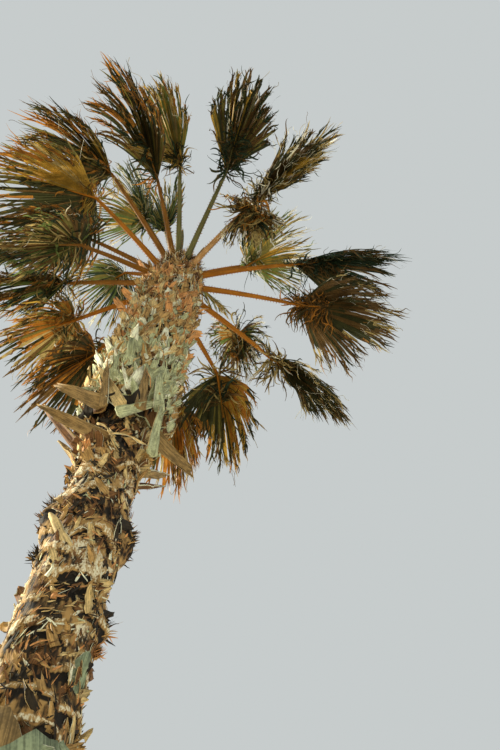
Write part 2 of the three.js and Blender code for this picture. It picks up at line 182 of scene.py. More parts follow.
# Longer cut stalks among the leaf bases: turn, height and distance from the bark of both ends,
# width and tone
CUT_STALKS = (
    (-112, 8.36, 0.11, -116, 8.76, 0.17, 0.085, "orange"),
    (-82, 8.38, 0.11, -88, 8.76, 0.16, 0.080, "orange"),
    (-150, 8.80, 0.10, -147, 9.16, 0.34, 0.060, "orange"),
    (-152, 9.00, 0.08, -150, 9.34, 0.22, 0.050, "tan"),
    (-146, 7.95, 0.10, -149, 8.20, 0.33, 0.100, "orange"),
    (-150, 7.60, 0.12, -147, 7.86, 0.34, 0.095, "orange"),
    (-140, 8.30, 0.10, -146, 8.55, 0.26, 0.090, "tan"),
    (8, 8.20, 0.08, 12, 8.42, 0.24, 0.085, "orange"),
    (6, 7.62, 0.08, 10, 7.78, 0.27, 0.095, "orange"),
    (-28, 7.70, 0.14, -38, 8.00, 0.20, 0.080, "orange"),
    (0, 7.00, 0.10, 6, 7.20, 0.22, 0.070, "orange"),
    (-152, 6.86, 0.10, -150, 7.08, 0.21, 0.075, "cream"),
    (-140, 6.72, 0.12, -146, 6.94, 0.21, 0.070, "cream"),
    (-150, 6.50, 0.12, -152, 6.72, 0.22, 0.075, "cream"),
    (60, 7.90, 0.10, 66, 8.20, 0.30, 0.090, "orange"),
    (110, 8.30, 0.10, 108, 8.66, 0.24, 0.080, "tan"),
    (150, 7.50, 0.12, 156, 7.80, 0.32, 0.090, "orange"),
    (90, 6.90, 0.12, 84, 7.20, 0.33, 0.090, "sand"),
    (40, 8.80, 0.08, 44, 9.20, 0.22, 0.070, "orange"),
)

# Frayed tufts on the bare trunk: turn, height, half width in degrees, half height, reach and tone
TUFTS = (
    (-152, 4.70, 10, 0.12, 0.10, "brown"),
    (-155, 4.80, 6, 0.05, 0.09, "dark"),
    (14, 4.60, 12, 0.09, 0.10, "dark"),
    (10, 4.70, 12, 0.05, 0.09, "brown"),
    (14, 4.02, 6, 0.05, 0.12, "orange"),
    (12, 3.88, 6, 0.03, 0.08, "orange"),
    (-150, 4.36, 8, 0.05, 0.08, "dark"),
    (60, 4.70, 14, 0.10, 0.09, "brown"),
    (120, 3.60, 14, 0.10, 0.09, "dark"),
    (170, 2.50, 14, 0.10, 0.09, "brown"),
    (-40, 2.40, 14, 0.10, 0.09, "brown"),
)

# Broad old leaf bases that still clasp the bare trunk: turn, height and distance from the bark
# of both ends, width, how far they arch sideways and tone
CLASPS = (
    # The darker green of the low clasps at the front is sage darkened as painted shade
    (-44, 2.80, 0.02, -54, 3.12, 0.070, 0.42, 0.3, "moss"),
    (-122, 2.86, 0.02, -98, 3.20, 0.050, 0.34, 0.3, "olive"),
    (-112, 3.20, 0.01, -60, 3.20, 0.060, 0.06, 0.3, "moss"),
    (-40, 3.27, 0.01, -16, 3.20, 0.050, 0.12, 0.0, "moss"),
    (-20, 3.56, 0.00, -24, 3.70, 0.035, 0.12, 0.0, "moss"),
    (165, 3.12, 0.00, 168, 3.42, 0.080, 0.26, 0.0, "sand"),
    (90, 3.16, 0.00, 84, 3.44, 0.080, 0.25, 0.0, "sage"),
    (20, 2.10, 0.00, 24, 2.38, 0.080, 0.24, 0.0, "sand"),
    (-70, 2.06, 0.00, -66, 2.36, 0.080, 0.25, 0.0, "sage"),
    (-150, 2.12, 0.00, -154, 2.40, 0.080, 0.24, 0.0, "tan"),
    (110, 2.08, 0.00, 112, 2.38, 0.080, 0.25, 0.0, "sage"),
    (-92, 4.32, 0.00, -118, 4.50, 0.040, 0.065, 0.0, "sand"),
    (60, 4.50, 0.00, 64, 4.76, 0.090, 0.14, 0.0, "brown"),
    (120, 4.52, 0.00, 114, 4.80, 0.090, 0.14, 0.0, "orange"),
)

# Each frond: its foot's drop below the bud, its stalk's turn, rise and length, its blade's swing,
# nod and length, and the spread, fold and droop of its rays. Lengths are millimetres.
FROND_ROWS = (
    (300, -135, 15, 1240, -25, 30, 1380, 100, 15, 0.8),
    (50, -125, 18, 1330, -8, 20, 1220, 66, 35, 1.1),
    (100, -105, 35, 1180, 0, 30, 1450, 52, 45, 1.1),
    (50, -90, 34, 1280, -18, 2, 1080, 28, 35, 0.9),
    (150, -63, 25, 1310, -11, 0, 1160, 38, 40, 1.0),
    (50, -138, 55, 1010, 0, 5, 880, 85, 35, 0.9),
    (0, -128, 66, 900, 30, 0, 820, 80, 50, 0.9),
    (150, -38, 36, 1180, -3, 16, 1440, 17, 40, 0.8),
    (250, -43, 20, 1080, 45, 60, 850, 80, 50, 1.7),
    (150, -3, 14, 1340, 1, 3, 1340, 30, 45, 1.0),
    (100, 7, 45, 1090, -24, 2, 1020, 80, 25, 0.9),
    (350, 12, 6, 1390, -11, 18, 1190, 92, 20, 0.7),
    (450, 30, -24, 1300, -4, 6, 1130, 20, 40, 0.7),
    (350, 47, 19, 1030, 40, 75, 820, 90, 45, 1.5),
    (750, 63, 3, 1020, 17, 40, 1120, 62, 35, 1.0),
    (750, 92, -3, 1080, -8, 38, 1200, 85, 35, 0.9),
    (350, 180, 2, 1190, 14, 30, 1100, 85, 45, 1.2),
    (100, 168, 42, 960, -22, 15, 880, 85, 30, 1.1),
    (550, 172, -30, 1070, 8, 14, 1060, 85, 30, 0.8),
    (650, 152, -43, 1050, 9, 4, 1080, 75, 40, 0.7),
    (250, -157, 14, 1080, 2, 32, 1150, 85, 40, 1.2),
    (400, -148, -20, 1110, -26, 4, 1050, 80, 35, 1.1),
    (350, 108, 28, 1000, 0, 14, 1000, 90, 35, 1.1),
    (500, 128, 4, 1050, 0, 22, 1000, 90, 35, 1.1),
    (0, 80, 68, 850, 0, 6, 850, 85, 45, 0.8),
    (0, 132, 70, 850, 0, 4, 820, 80, 50, 0.8),
)

# Fronds whose blade is torn narrower on one side than on the other
FROND_SIDES = {
    1: (0.4, 0.8),
    2: (0.45, 0.85),
    3: (0.6, 0.5),
    4: (1.0, 1.6),
    5: (1.0, 0.8),
    8: (0.6, 1.1),
    10: (1.25, 0.7),
    11: (0.6, 1.0),
    12: (0.52, 0.42),
    13: (0.6, 1.6),
    15: (0.75, 0.75),
    16: (1.1, 0.42),
    17: (0.45, 0.4),
    19: (0.6, 1.1),
    20: (0.75, 1.2),
    21: (0.9, 0.8),
    22: (1.0, 0.3),
}

# How each frond looks: the tones of its blade on the two sides, of its free tips and of its curls
# (g gold, painted sunlight; o olive; d dark, painted shade; b brown; r orange; s straw; p pale, partly
# painted glints of sun; n green; t dark green, painted shade), where its segments part, how limp they
# hang, the turn and strength of the sweep of their tips, how many hairs and curls it has, how far up
# the blade the curls spring from, and how many threads
FROND_STYLES = (
    ("ggsg", "ddbd", "rbdro", "rbog", 0.50, 0.5, 178, 0.55, 90, 26, 0.12, 6),
    ("obdg", "dobd", "rdbro", "rdts", 0.42, 0.6, 184, 0.95, 110, 34, 0.3, 6),
    ("ddbo", "dobd", "rdbrt", "rbdt", 0.54, 0.7, 184, 0.75, 90, 30, 0.3, 6),
    ("gsng", "sgns", "bgstr", "dbtg", 0.68, 0.5, 180, 0.2, 40, 44, 0.2, 10),
    ("bbod", "dobg", "tdbdb", "tdbt", 0.74, 1.2, -10, 0.2, 50, 80, 0.4, 8),
    ("nott", "nnog", "pngot", "tnps", 0.48, 0.5, 0, 0.0, 40, 20, 0.2, 6),
    ("tton", "ttod", "nogts", "tnds", 0.48, 0.5, 0, 0.0, 40, 20, 0.2, 6),
    ("gggs", "bdbd", "dbspd", "sbdp", 0.58, 0.8, -140, 0.35, 34, 90, 0.32, 50),
    ("sbdt", "srbt", "sdsbp", "bdsr", 0.40, 1.0, 60, 0.20, 110, 90, 0.5, 24),
    ("ddbt", "tddt", "tdbtd", "tdtb", 0.54, 0.35, -15, 0.2, 44, 50, 0.35, 14),
    ("ogno", "gono", "oppns", "tnop", 0.48, 0.4, -40, 0.30, 50, 30, 0.2, 50),
    ("bbdd", "dbbb", "bdbsb", "dbbr", 0.60, 0.3, -10, 0.16, 60, 150, 0.3, 34),
    ("dbdd", "ddbd", "dbdsd", "dsbsp", 0.5, 0.5, 20, 0.20, 70, 60, 0.15, 36),
    ("rsbn", "tnbd", "tsbpn", "drsbp", 0.40, 0.8, 20, 0.55, 120, 90, 0.5, 50),
    ("ddod", "rgrg", "drbgd", "dtsb", 0.66, 1.2, 80, 0.10, 60, 46, 0.3, 10),
    ("gdro", "rgrb", "rrgbs", "rdbs", 0.58, 0.6, 90, 0.10, 40, 24, 0.2, 6),
    ("dbdb", "dtbn", "bdrst", "tsbd", 0.46, 0.7, 180, 0.35, 100, 36, 0.3, 8),
    ("noto", "ntot", "sptng", "tnps", 0.48, 0.5, 180, 0.20, 50, 24, 0.2, 10),
    ("rgro", "orsb", "rbdsg", "rbst", 0.50, 0.5, 180, 0.35, 80, 40, 0.3, 6),
    ("rbdb", "bdrd", "rbdrb", "drrb", 0.55, 0.5, 176, 0.40, 60, 30, 0.2, 6),
    ("bdrd", "dbdo", "rbdrb", "rdbt", 0.44, 0.7, 180, 0.60, 110, 34, 0.3, 6),
    ("bsdo", "nsbt", "sbnbt", "tsnb", 0.42, 0.7, 180, 0.60, 120, 40, 0.3, 10),
    ("gono", "gobo", "rgobd", "bdts", 0.52, 0.6, 90, 0.10, 50, 24, 0.2, 8),
    ("bodg", "gobd", "rbdgo", "bdts", 0.52, 0.6, 120, 0.10, 50, 24, 0.2, 8),
    ("nogn", "nogo", "gonbs", "tnbs", 0.50, 0.5, 0, 0.0, 40, 20, 0.2, 6),
    ("nogo", "ngno", "gonbs", "tnbs", 0.50, 0.5, 0, 0.0, 40, 20, 0.2, 6),
)
FanStyle = namedtuple(
    "FanStyle", "first second tips curls split limp sweep_turn sweep hairs curl_count spring threads"
)

# The letters of the leaves' tones, their colours in the same order, and the stem's tones
LEAF_TONES = "godbrspnt"
LEAF_COLOURS = ("gold", "olive", "dark", "brown", "orange", "straw", "pale", "green", "dark_green")
STEM_TONES = ("sage", "sand", "tan", "cream", "orange", "brown", "dark", "olive", "moss")

# The fronds of each piece, the angle in degrees that a fan would span with its pleats pulled flat,
# the steps along a segment in the blade and past the split, and the point where it forks
FAN_GROUPS = ((0, 7), (7, 14), (14, 20), (20, 26))
FULL_PLEAT = 236
BLADE_STEPS = 5
FREE_STEPS = 10
FORK_AT = 11

# A stalk's section, in shares of its half width and half thickness, its points from foot to hub, and
# where its rib in the blade has points and how wide it is there, in shares. Then the fronds whose
# stalks are brown, olive and dead, and the colour of every kind's edges.
STALK_SECTION = (
    (1, 0.15),
    (0.8, 0.42),
    (0.3, 0.22),
    (-0.3, 0.22),
    (-0.8, 0.42),
    (-1, 0.15),
    (-0.75, -0.6),
    (-0.3, -0.95),
    (0.3, -0.95),
    (0.75, -0.6),
)
STALK_STEPS = 24
RIB_STEPS = (0.35, 0.7, 1.0)
RIB_WIDTHS = (0.75, 0.5, 0.2)
STALK_KINDS = ((2, 3, 17, 21, 22, 23), (4, 5, 6, 7, 25, 26), (8, 9))
STALK_EDGES = {"stalk": "c8923e", "stalk_brown": "b4874f", "stalk_olive": "8f8050", "stalk_dead": "e9cfa4"}
THORN_LENGTH = 0.017
THORN_RADIUS = 0.0045

# Turn, rise and length of each unopened leaf, the radius along it, and how far its foot is below
# the bud and beside the axis
SPEARS = (
    (150, 80, 1.75),
    (20, 84, 1.5),
    (-100, 82, 1.25),
)
SPEAR_PROFILE = (
    (0, 0.03),
    (0.2, 0.02),
    (0.42, 0.017),
    (0.55, 0.034),
    (0.7, 0.031),
    (0.8, 0.026),
    (0.92, 0.014),
    (1, 0.003),
)
SPEAR_ROOT = 0.06
SPEAR_PLEATS = 16
SPEAR_STEPS = 22

# Shapes of woody planks, in shares of their length or width: how far they bend outwards, how hollow
# they are across, how ragged and how hollow their end is, how much they taper, how uneven their
# sides are, how far they arch sideways, how crumpled they are, and the points across them
CLASP_SHAPE = {"cup": -0.45, "tear": 0.04, "notch": -0.45, "taper": 0.2, "columns": 13}
PLATE_SHAPE = {"cup": -0.3, "tear": 0.6, "notch": 0.1}
LEG_SHAPE = {"cup": 0.5, "tear": 0.25, "notch": -0.2, "wobble": 0.14, "crumple": 0.3}
STUB_SHAPE = {"bend": 0.1, "cup": 0.35, "tear": 0.3, "notch": 0.0}
CUT_SHAPE = {"bend": 0.05, "cup": 0.3, "tear": 0.35, "notch": 0.1}
BROKEN_SHAPE = {
    "cup": 0.5,
    "tear": 0.3,
    "notch": -0.25,
    "taper": 0.4,
    "wobble": 0.08,
    "crumple": 0.18,
    "columns": 7,
}
FLAKE_SHAPE = {"cup": 0.5, "tear": 0.4, "notch": 0.05, "taper": -0.3}

# The width of a fibre at its six points, in shares
FINE_FIBRE = (0.6, 1, 1, 0.9, 0.6, 0.15)
BROAD_FIBRE = (0.7, 1, 1, 0.8, 0.5, 0.1)


def tint(code):
    """A colour written as six hexadecimal digits, as linear numbers."""
    shares = [int(code[i : i + 2], 16) / 255 for i in (0, 2, 4)]
    return tuple(((s + 0.055) / 1.055) ** 2.4 if s > 0.04 else s / 12.92 for s in shares)


def colour(name, description, code):
    """A property for a colour, given as six hexadecimal digits."""
    return bpy.props.FloatVectorProperty(
        name=name, description=description, default=tint(code), subtype="COLOR", size=3, min=0, max=1
    )


def length(name, description, default):
    """A property for a length in metres."""
    return bpy.props.FloatProperty(
        name=name, description=description, default=default, unit="LENGTH", subtype="DISTANCE", min=0
    )


def share(name, description, default):
    """A property for a share."""
    return bpy.props.FloatProperty(name=name, description=description, default=default, min=0, max=4)


def count(name, description, default):
    """A property for a whole number of things."""
    return bpy.props.IntProperty(name=name, description=description, default=default, min=1)


class PalmFans(bpy.types.PropertyGroup):
    """Sizes and colours of the fans and their stalks."""

    segments: count("Segments", "Leaf segments in one fan", 60)
    curl_length: length("Curl length", "Length of the curls beside a hub", 0.3)
    hair_share: share("Hair share", "How many of the torn strips at the tips are grown", 1.6)
    hair_width: length("Hair width", "Half width of the fine strips at the tips", 0.0066)
    thread_radius: length("Thread radius", "Radius of the fine threads", 0.0022)
    stalk_width: length("Stalk width", "Width of a stalk at its foot", 0.074)
    stalk_tip: length("Stalk tip", "Width of a stalk at the hub", 0.035)
    stalk_thickness: length("Stalk thickness", "Thickness of a stalk at its foot", 0.044)
    thorn_pitch: length("Thorn pitch", "Distance from one thorn to the next", 0.032)
    gold: colour("Gold", "Sunlit blades", "b6923c")
    olive: colour("Olive", "Older blades", "7a7038")
    dark: colour("Dark", "Shaded blades", "3e3e22")
    brown: colour("Brown", "Dry blades", "684f2a")
    orange: colour("Orange", "Dry tips", "b2782e")
    straw: colour("Straw", "Dead strips", "b29c62")
    # Pale is partly the bleached colour of tips and threads and partly painted glints of sun on them
    pale: colour("Pale", "Bleached tips", "efe6cf")
    green: colour("Green", "Young blades", "6e7c40")
    dark_green: colour("Dark green", "Curls in the shade", "30402c")
    stalk: colour("Stalk", "Living stalks", "ac6a14")
    stalk_brown: colour("Brown stalk", "Older stalks", "865818")
    stalk_olive: colour("Olive stalk", "Young upright stalks", "6c683c")
    stalk_dead: colour("Dead stalk", "Dried stalk with torn edges", "bc8e58")


class PalmStem(bpy.types.PropertyGroup):
    """Sizes and colours of the trunk and its old leaf bases."""

    around: count("Around", "Points round the bark mesh", 112)
    tall: count("Tall", "Rows of points up the bark mesh", 620)
    relief: length("Relief", "How far the old clasping bases stand out of the bark", 0.019)
    row_pitch: length("Row pitch", "Height from one row of leaf bases to the next", 0.118)
    per_row: count("Per row", "Leaf bases in a row", 9)
    base_length: length("Base length", "Height of a split leaf base", 0.42)
    base_width: length("Base width", "Width of half a leaf base", 0.1)
    plates: count("Plates", "Torn plates on the bare trunk", 1100)
    strips: count("Strips", "Torn strips on the bare trunk", 6800)
    tuft: count("Tuft", "Fibres in one frayed tuft", 46)
    frayed: count("Frayed strips", "Frayed strips along the split leaf bases", 1100)
    mat: count("Mat", "Tangled fibres between the leaf bases and round the head", 4600)
    flakes: count("Flakes", "Peeling flakes under the broken stalks", 80)
    sage: colour("Sage", "Weathered leaf bases", "b6b88c")
    sand: colour("Sand", "Leaf bases", "d0b47a")
    tan: colour("Tan", "Leaf bases", "b48e54")
    # Cream is partly the bleached colour of the leaf bases and partly painted highlight on their sunlit
    # edges
    cream: colour("Cream", "Bleached leaf bases", "f2e8c4")
    orange: colour("Orange", "Fresh leaf bases", "d09458")
    olive: colour("Olive", "Broken stalks", "967a4c")
    brown: colour("Brown", "Old bark", "74502c")
    # Dark is painted shade in the hollows and at the feet of the leaf bases, and also the tone of dark
    # fibres
    dark: colour("Dark", "Hollows", "30281c")
    # A darker sage for the broad leaf bases low on the front: painted shade
    moss: colour("Moss", "Broad green leaf bases", "8c9674")


# Rules shared with the solids


def unit(vectors):
    """Vectors brought to a length of 1."""
    return vectors / np.maximum(np.linalg.norm(vectors, axis=-1, keepdims=True), 1e-9)


def heading(turn, rise):
    """The way at a turn round the trunk and a rise above level, both in degrees."""
    turn, rise = np.broadcast_arrays(np.radians(turn), np.radians(rise))
    return np.stack([np.cos(turn) * np.cos(rise), np.sin(turn) * np.cos(rise), np.sin(rise)], -1)


def axis_at(z):
    """Points on the trunk's axis, which bows and leans a little."""
    z = np.asarray(z, float)
    part = z / BUD
    x = LEAN_AT_TOP * part**3 - BOW * np.sin(pi * part)
    return np.stack([x, 0.35 * x, z], -1)


def trunk_radius(z, angle):
    """The bare trunk's radius, with its flare and swellings."""
    below = np.minimum(1, z / COLUMN_FOOT)
    above = np.maximum(0, (z - COLUMN_FOOT) / (BUD - COLUMN_FOOT))
    flare = FOOT_FLARE * np.exp(-z / FLARE_HEIGHT) * (1 + 0.16 * np.cos(5 * angle + 0.7))
    swell = sum(out * np.exp(-(((z - at) / reach) ** 2)) for at, out, reach in SWELLINGS)
    wave = 1 + 0.35 * np.cos(2 * angle + z / 0.4)
    return TRUNK_RADIUS * (1.04 - 0.14 * below - 0.12 * above) + flare + swell * wave


def on_trunk(z, turn, out):
    """The point at a height and turn, that far out from the bare trunk."""
    angle = np.radians(turn)
    return axis_at(z) + heading(turn, 0) * (trunk_radius(z, angle) + out)[..., None]


def noise(angle, z, around, tall, seed):
    """Smooth noise from -1 to 1 in cells round the trunk and up it."""
    rows = int(1.2 * BUD / tall) + 3
    grid = np.random.default_rng(seed).uniform(-1, 1, (rows, around))
    u = (angle / (2 * pi) % 1) * around
    v = z / tall
    i, j = np.floor(v).astype(int), np.floor(u).astype(int)
    fv, fu = v - i, u - j
    fv, fu = fv * fv * (3 - 2 * fv), fu * fu * (3 - 2 * fu)
    j, k = j % around, (j + 1) % around
    low = grid[i, j] * (1 - fu) + grid[i, k] * fu
    high = grid[i + 1, j] * (1 - fu) + grid[i + 1, k] * fu
    return low * (1 - fv) + high * fv


class Frond:
    """Where a frond's stalk and blade lie, by the solids' rule."""

    def __init__(self, number, row):
        drop, turn, rise, stalk, swing, nod, blade, spread, fold, droop = row
        self.number, self.spread, self.droop = number, spread, droop
        self.sides = FROND_SIDES.get(number, (1.0, 1.0))
        self.stalk, self.blade, self.fold = stalk / 1000, blade / 1000, radians(fold)
        axis = axis_at(BUD - drop / 1000)
        self.hub = axis + heading(turn, rise) * self.stalk
        self.foot = axis + heading(turn, 0) * STALK_ROOT * np.cos(radians(rise))
        self.along = heading(turn + swing, rise - nod)
        self.side = unit(np.cross(self.along, UP))
        self.normal = np.cross(self.side, self.along)

    def direction(self, angle):
        """The way of a ray at an angle from the blade's middle, dropped by the fold."""
        sine = np.sin(angle)[:, None]
        return unit(
            self.along * np.cos(angle)[:, None]
            + self.side * sine * np.cos(self.fold)
            - self.normal * abs(sine) * np.sin(self.fold)
        )

    def angle(self, place):
        """The angle of the ray at a place across the fan: wider apart towards the edges."""
        side = np.where(place < 0, *self.sides)
        wide = self.spread * side * abs(place) * (1 + 0.4 * abs(place) ** 3)
        return np.sign(place) * np.radians(np.minimum(WIDEST_RAY, wide))

    def rays(self, place, reach, shares, slack, sway):
        """Centre lines of the rays at these places across the fan, from -1 to 1."""
        outward = abs(place)[:, None]
        steps = np.diff(shares, axis=1) * (self.blade * (1 - OUTER_SHORTER * outward**2) * reach[:, None])
        middle = (shares[:, 1:] + shares[:, :-1]) / 2
        weight = self.droop * np.maximum(0, middle - 0.2) ** 1.4 * (1 + 0.6 * outward) + slack
        straight = self.direction(self.angle(place))[:, None]
        bent = unit(straight - UP * weight[..., None] + sway)
        start = np.broadcast_to(self.hub, (len(place), 1, 3))
        return np.concatenate([start, self.hub + np.cumsum(bent * steps[..., None], 1)], 1)

    def across(self, place):
        """The way across the blade at these places."""
        step = 0.01
        return unit(self.direction(self.angle(place + step)) - self.direction(self.angle(place - step)))


FRONDS = [Frond(i + 1, row) for i, row in enumerate(FROND_ROWS)]
FROND_NODES = [f"frond_{f.number:02d}" for f in FRONDS]
BASE_NODES = [f"leaf_bases_{k}" for k in range(1, 7)]
STUB_NODES = [f"trunk_stubs_{k}" for k in range(1, 4)]


def column_reach(z):
    """How far the column's leaf bases stand out from the trunk."""
    head = np.clip(1 - (BUD - z) / HEAD_REACH, 0, 1)
    foot = np.clip((z - COLUMN_FOOT + 0.1) / 0.2, 0, 1)
    return COLUMN_REACH * (1 - 0.4 * head) * foot * foot * (3 - 2 * foot)


def from_table(rows):
    """Feet, tips, widths and tones of a table's pieces on the trunk."""
    table = np.array([row[:7] for row in rows])
    feet = on_trunk(table[:, 1], table[:, 0], table[:, 2])
    tips = on_trunk(table[:, 4], table[:, 3], table[:, 5])
    return feet, tips, table[:, 6], np.array([STEM_TONES.index(row[-1]) for row in rows])


# Meshes


def grids(number, steps, columns, wrap=False):
    """Quads of that many like grids of points, one after the other."""
    i = np.arange(steps - 1)[:, None] * columns
    j = np.arange(columns if wrap else columns - 1)[None]
    k = (j + 1) % columns
    one = np.stack([i + j, i + k, i + columns + k, i + columns + j], -1).reshape(-1, 4)
    return (one + np.arange(number)[:, None, None] * steps * columns).reshape(-1, 4)


class Heap:
    """Points and quads gathered from many small shapes, made into one mesh at the end."""

    def __init__(self):
        self.points, self.faces, self.tones, self.maps = [], [], [], []
        self.count = 0

    def add(self, points, faces, tones, maps=None):
        """Adds points and the quads between them, with the quads' tones and the points' flat places."""
        points = points.reshape(-1, 3)
        self.points.append(points)
        self.faces.append(faces + self.count)
        self.tones.append(np.broadcast_to(tones, len(faces)))
        self.maps.append(np.zeros((len(points), 2)) if maps is None else maps.reshape(-1, 2))
        self.count += len(points)

    def make(self, name, materials, slot, *nodes):
        """The gathered shapes as one piece that stands for the nodes."""
        points, faces = np.concatenate(self.points), np.concatenate(self.faces)
        mesh = bpy.data.meshes.new(name)
        mesh.vertices.add(len(points))
        mesh.vertices.foreach_set("co", points.astype(np.float32).ravel())
        mesh.loops.add(faces.size)
        mesh.loops.foreach_set("vertex_index", faces.astype(np.int32).ravel())
        mesh.polygons.add(len(faces))
        mesh.polygons.foreach_set("loop_start", np.arange(0, faces.size, 4, dtype=np.int32))
        mesh.polygons.foreach_set("material_index", np.concatenate(self.tones).astype(np.int32))
        for material in materials:
            mesh.materials.append(material)
        flat = mesh.uv_layers.new(name="UVMap")
        maps = np.concatenate(self.maps)[faces.ravel()]
        flat.data.foreach_set("uv", maps.astype(np.float32).ravel())
        mesh.update(calc_edges=True)
        mesh.shade_smooth()
        return settle(bpy.data.objects.new(name, mesh), slot, *nodes)


def settle(piece, slot, *nodes):
    """Puts a finished piece in the scene and on the palm."""
    if piece.name not in bpy.context.scene.collection.objects:
        bpy.context.scene.collection.objects.link(piece)
    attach(piece, "root")
    if nodes:
        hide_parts(*nodes)
    return piece


def frames(centre, across):
    """Each line's tangent, and across made square to it."""
    tangent = unit(np.gradient(centre, axis=1))
    across = across - (across * tangent).sum(-1, keepdims=True) * tangent
    return tangent, unit(across)


def strips(heap, centre, across, half, fold, tones, twist=0.0, lift=None):
    """Long leaf strips creased along the middle. fold is how far the halves close, lift the way up."""
    tangent, across = frames(centre, across)
    face = np.cross(across, tangent) if lift is None else frames(centre, lift)[1]
    turned = np.asarray(twist)[..., None]
    across, face = (
        across * np.cos(turned) + face * np.sin(turned),
        face * np.cos(turned) - across * np.sin(turned),
    )
    half, fold = half[..., None], np.asarray(fold)[..., None]
    out, rise = across * half * np.cos(fold), face * half * np.sin(fold)
    lines, steps = centre.shape[:2]
    faces = grids(lines, steps, 2)
    tones = np.broadcast_to(tones, (lines, steps - 1)).reshape(-1)
    for left, right in ((centre - out + rise, centre), (centre, centre + out + rise)):
        heap.add(np.stack([left, right], 2), faces, tones)


def hairs(heap, centre, across, half, tones, twist=0.0):
    """Fine flat strips."""
    tangent, across = frames(centre, across)
    face = np.cross(across, tangent)
    turned = np.asarray(twist)[..., None]
    out = (across * np.cos(turned) + face * np.sin(turned)) * half[..., None]
    lines, steps = centre.shape[:2]
    tones = np.broadcast_to(tones, (lines, steps - 1)).reshape(-1)
    heap.add(np.stack([centre - out, centre + out], 2), grids(lines, steps, 2), tones)


def wander(rng, start, direction, reach, steps, pull, curl):
    """Free lines that set off in a direction, hang more and more, and curl as they go."""
    lines = len(start)
    part = (np.arange(steps - 1) + 0.5) / (steps - 1)
    phase = rng.uniform(0, 2 * pi, (lines, 3, 1))
    speed = rng.uniform(3, 9, (lines, 3, 1))
    sway = np.sin(phase + speed * part) * part**0.7 * np.reshape(curl, (-1, 1, 1))
    weight = np.reshape(pull, (-1, 1)) * part
    bent = unit(direction[:, None] - UP * weight[..., None] + sway.transpose(0, 2, 1))
    steps_out = bent * np.reshape(reach, (-1, 1, 1)) / (steps - 1)
    return np.concatenate([start[:, None], start[:, None] + np.cumsum(steps_out, 1)], 1)


def pick(rng, tones, number):
    """Tone numbers drawn from a row of the leaves' letters or of the stem's names.

    A tone that is in the row twice comes up twice as often.
    """
    order = LEAF_TONES if isinstance(tones, str) else STEM_TONES
    numbers = np.array([order.index(tone) for tone in tones])
    return numbers[rng.integers(0, len(numbers), number)]


def planks(
    heap, foot, direction, face, size, tones, rims, rng,
    cup, tear, notch, taper=0.45, bend=0.0, wobble=0.12, arc=0.0, crumple=0.1, root=None, columns=5,
):
    """Woody planks with torn ends, their rims mostly pale as painted highlights along the edges. size is
    (length, width, thickness), root their tone low down, a painted shade at their feet.
    """
    number, steps = len(foot), 7
    direction = unit(direction)
    across = unit(np.cross(direction, face))
    face = np.cross(across, direction)
    part = np.linspace(0, 1, steps)[None, :, None, None]
    place = np.linspace(-1, 1, columns)[None, None, :, None]
    long, wide, thick = (size[:, i].reshape(-1, 1, 1, 1) for i in range(3))
    ends = rng.uniform(-1, 0, (number, 1, columns, 1)) * tear - notch * (1 - place**2)
    reached = part * (1 + ends * part**2)
    width = wide / 2 * (1 - taper * part) * (1 + wobble * rng.uniform(-1, 1, (number, steps, 1, 1)))
    rough = rng.uniform(-1, 1, (number, steps, columns, 1)) * thick * 2.2 * crumple * part
    bent = np.reshape(bend, (-1, 1, 1, 1)) * long * part**2
    ridge = rng.uniform(-crumple, crumple, (number, 1, columns, 1))
    lift = bent + (np.reshape(cup, (-1, 1, 1, 1)) * place**2 + ridge) * width + rough
    side = place * width + np.reshape(arc, (-1, 1, 1, 1)) * long * (part - part**2) * 2
    grid = (
        foot[:, None, None]
        + direction[:, None, None] * reached * long
        + across[:, None, None] * side
        + face[:, None, None] * lift
    )
    wall = face[:, None, None] * thick * (1 - 0.5 * part) * 0.5 * (1 - 0.3 * abs(place) ** 3)
    ring = np.concatenate([grid + wall, (grid - wall)[:, :, ::-1]], 2)
    around = 2 * columns
    faces = [grids(number, steps, around, wrap=True)]
    cap = np.array([[i, i + 1, around - 2 - i, around - 1 - i] for i in range(columns - 1)])
    starts = np.arange(number)[:, None, None] * steps * around
    faces.append((cap[:, ::-1] + starts).reshape(-1, 4))
    faces.append((cap + starts + (steps - 1) * around).reshape(-1, 4))
    wall_tones = np.repeat(np.asarray(tones)[:, None, None], steps - 1, 1).repeat(around, 2)
    # The rims, mostly pale, are painted highlights on the side walls and the torn end
    wall_tones[:, :, columns - 1 :: columns] = np.asarray(rims)[:, None, None]
    # A dark root is painted shade in the crevice at a plank's foot
    if root is not None:
        wall_tones[:, :2] = np.asarray(root)[:, None, None]
    spread = [wall_tones.reshape(-1), np.repeat(tones, len(cap)), np.repeat(rims, len(cap))]
    across = np.concatenate([place * width, (place * width)[:, :, ::-1] + 0.31], 2)
    own = rng.uniform(0, 50, (number, 1, 1, 1))
    maps = np.concatenate([across + own, np.broadcast_to(part * long, across.shape) + own], -1)
    heap.add(ring, np.concatenate(faces)[:, ::-1], np.concatenate(spread), maps)


def spans(heap, feet, tips, width, thick, tones, rims, rng, **shape):
    """Planks from one row of points to another, their faces away from the trunk."""
    long = np.linalg.norm(tips - feet, axis=-1)
    middle = (feet + tips) / 2
    face = unit((middle - axis_at(middle[:, 2])) * (1, 1, 0) - UP * 0.3)
    size = np.stack(np.broadcast_arrays(long, width, thick), 1)
    planks(heap, feet, tips - feet, face, size, tones, rims, rng, **shape)


def fibres(rng, start, turn, lie, outward, reach, curl):
    """Lines from points on the trunk, lying that far off upright and outwards, and the way across."""
    out = heading(turn, 0)
    way = UP * np.cos(lie)[:, None] + np.cross(UP, out) * np.sin(lie)[:, None]
    direction = unit(way + out * outward[:, None])
    line = wander(rng, start, direction, reach, len(FINE_FIBRE), 0.0, curl)
    return line, np.cross(direction, out)[:, None] + 0 * line


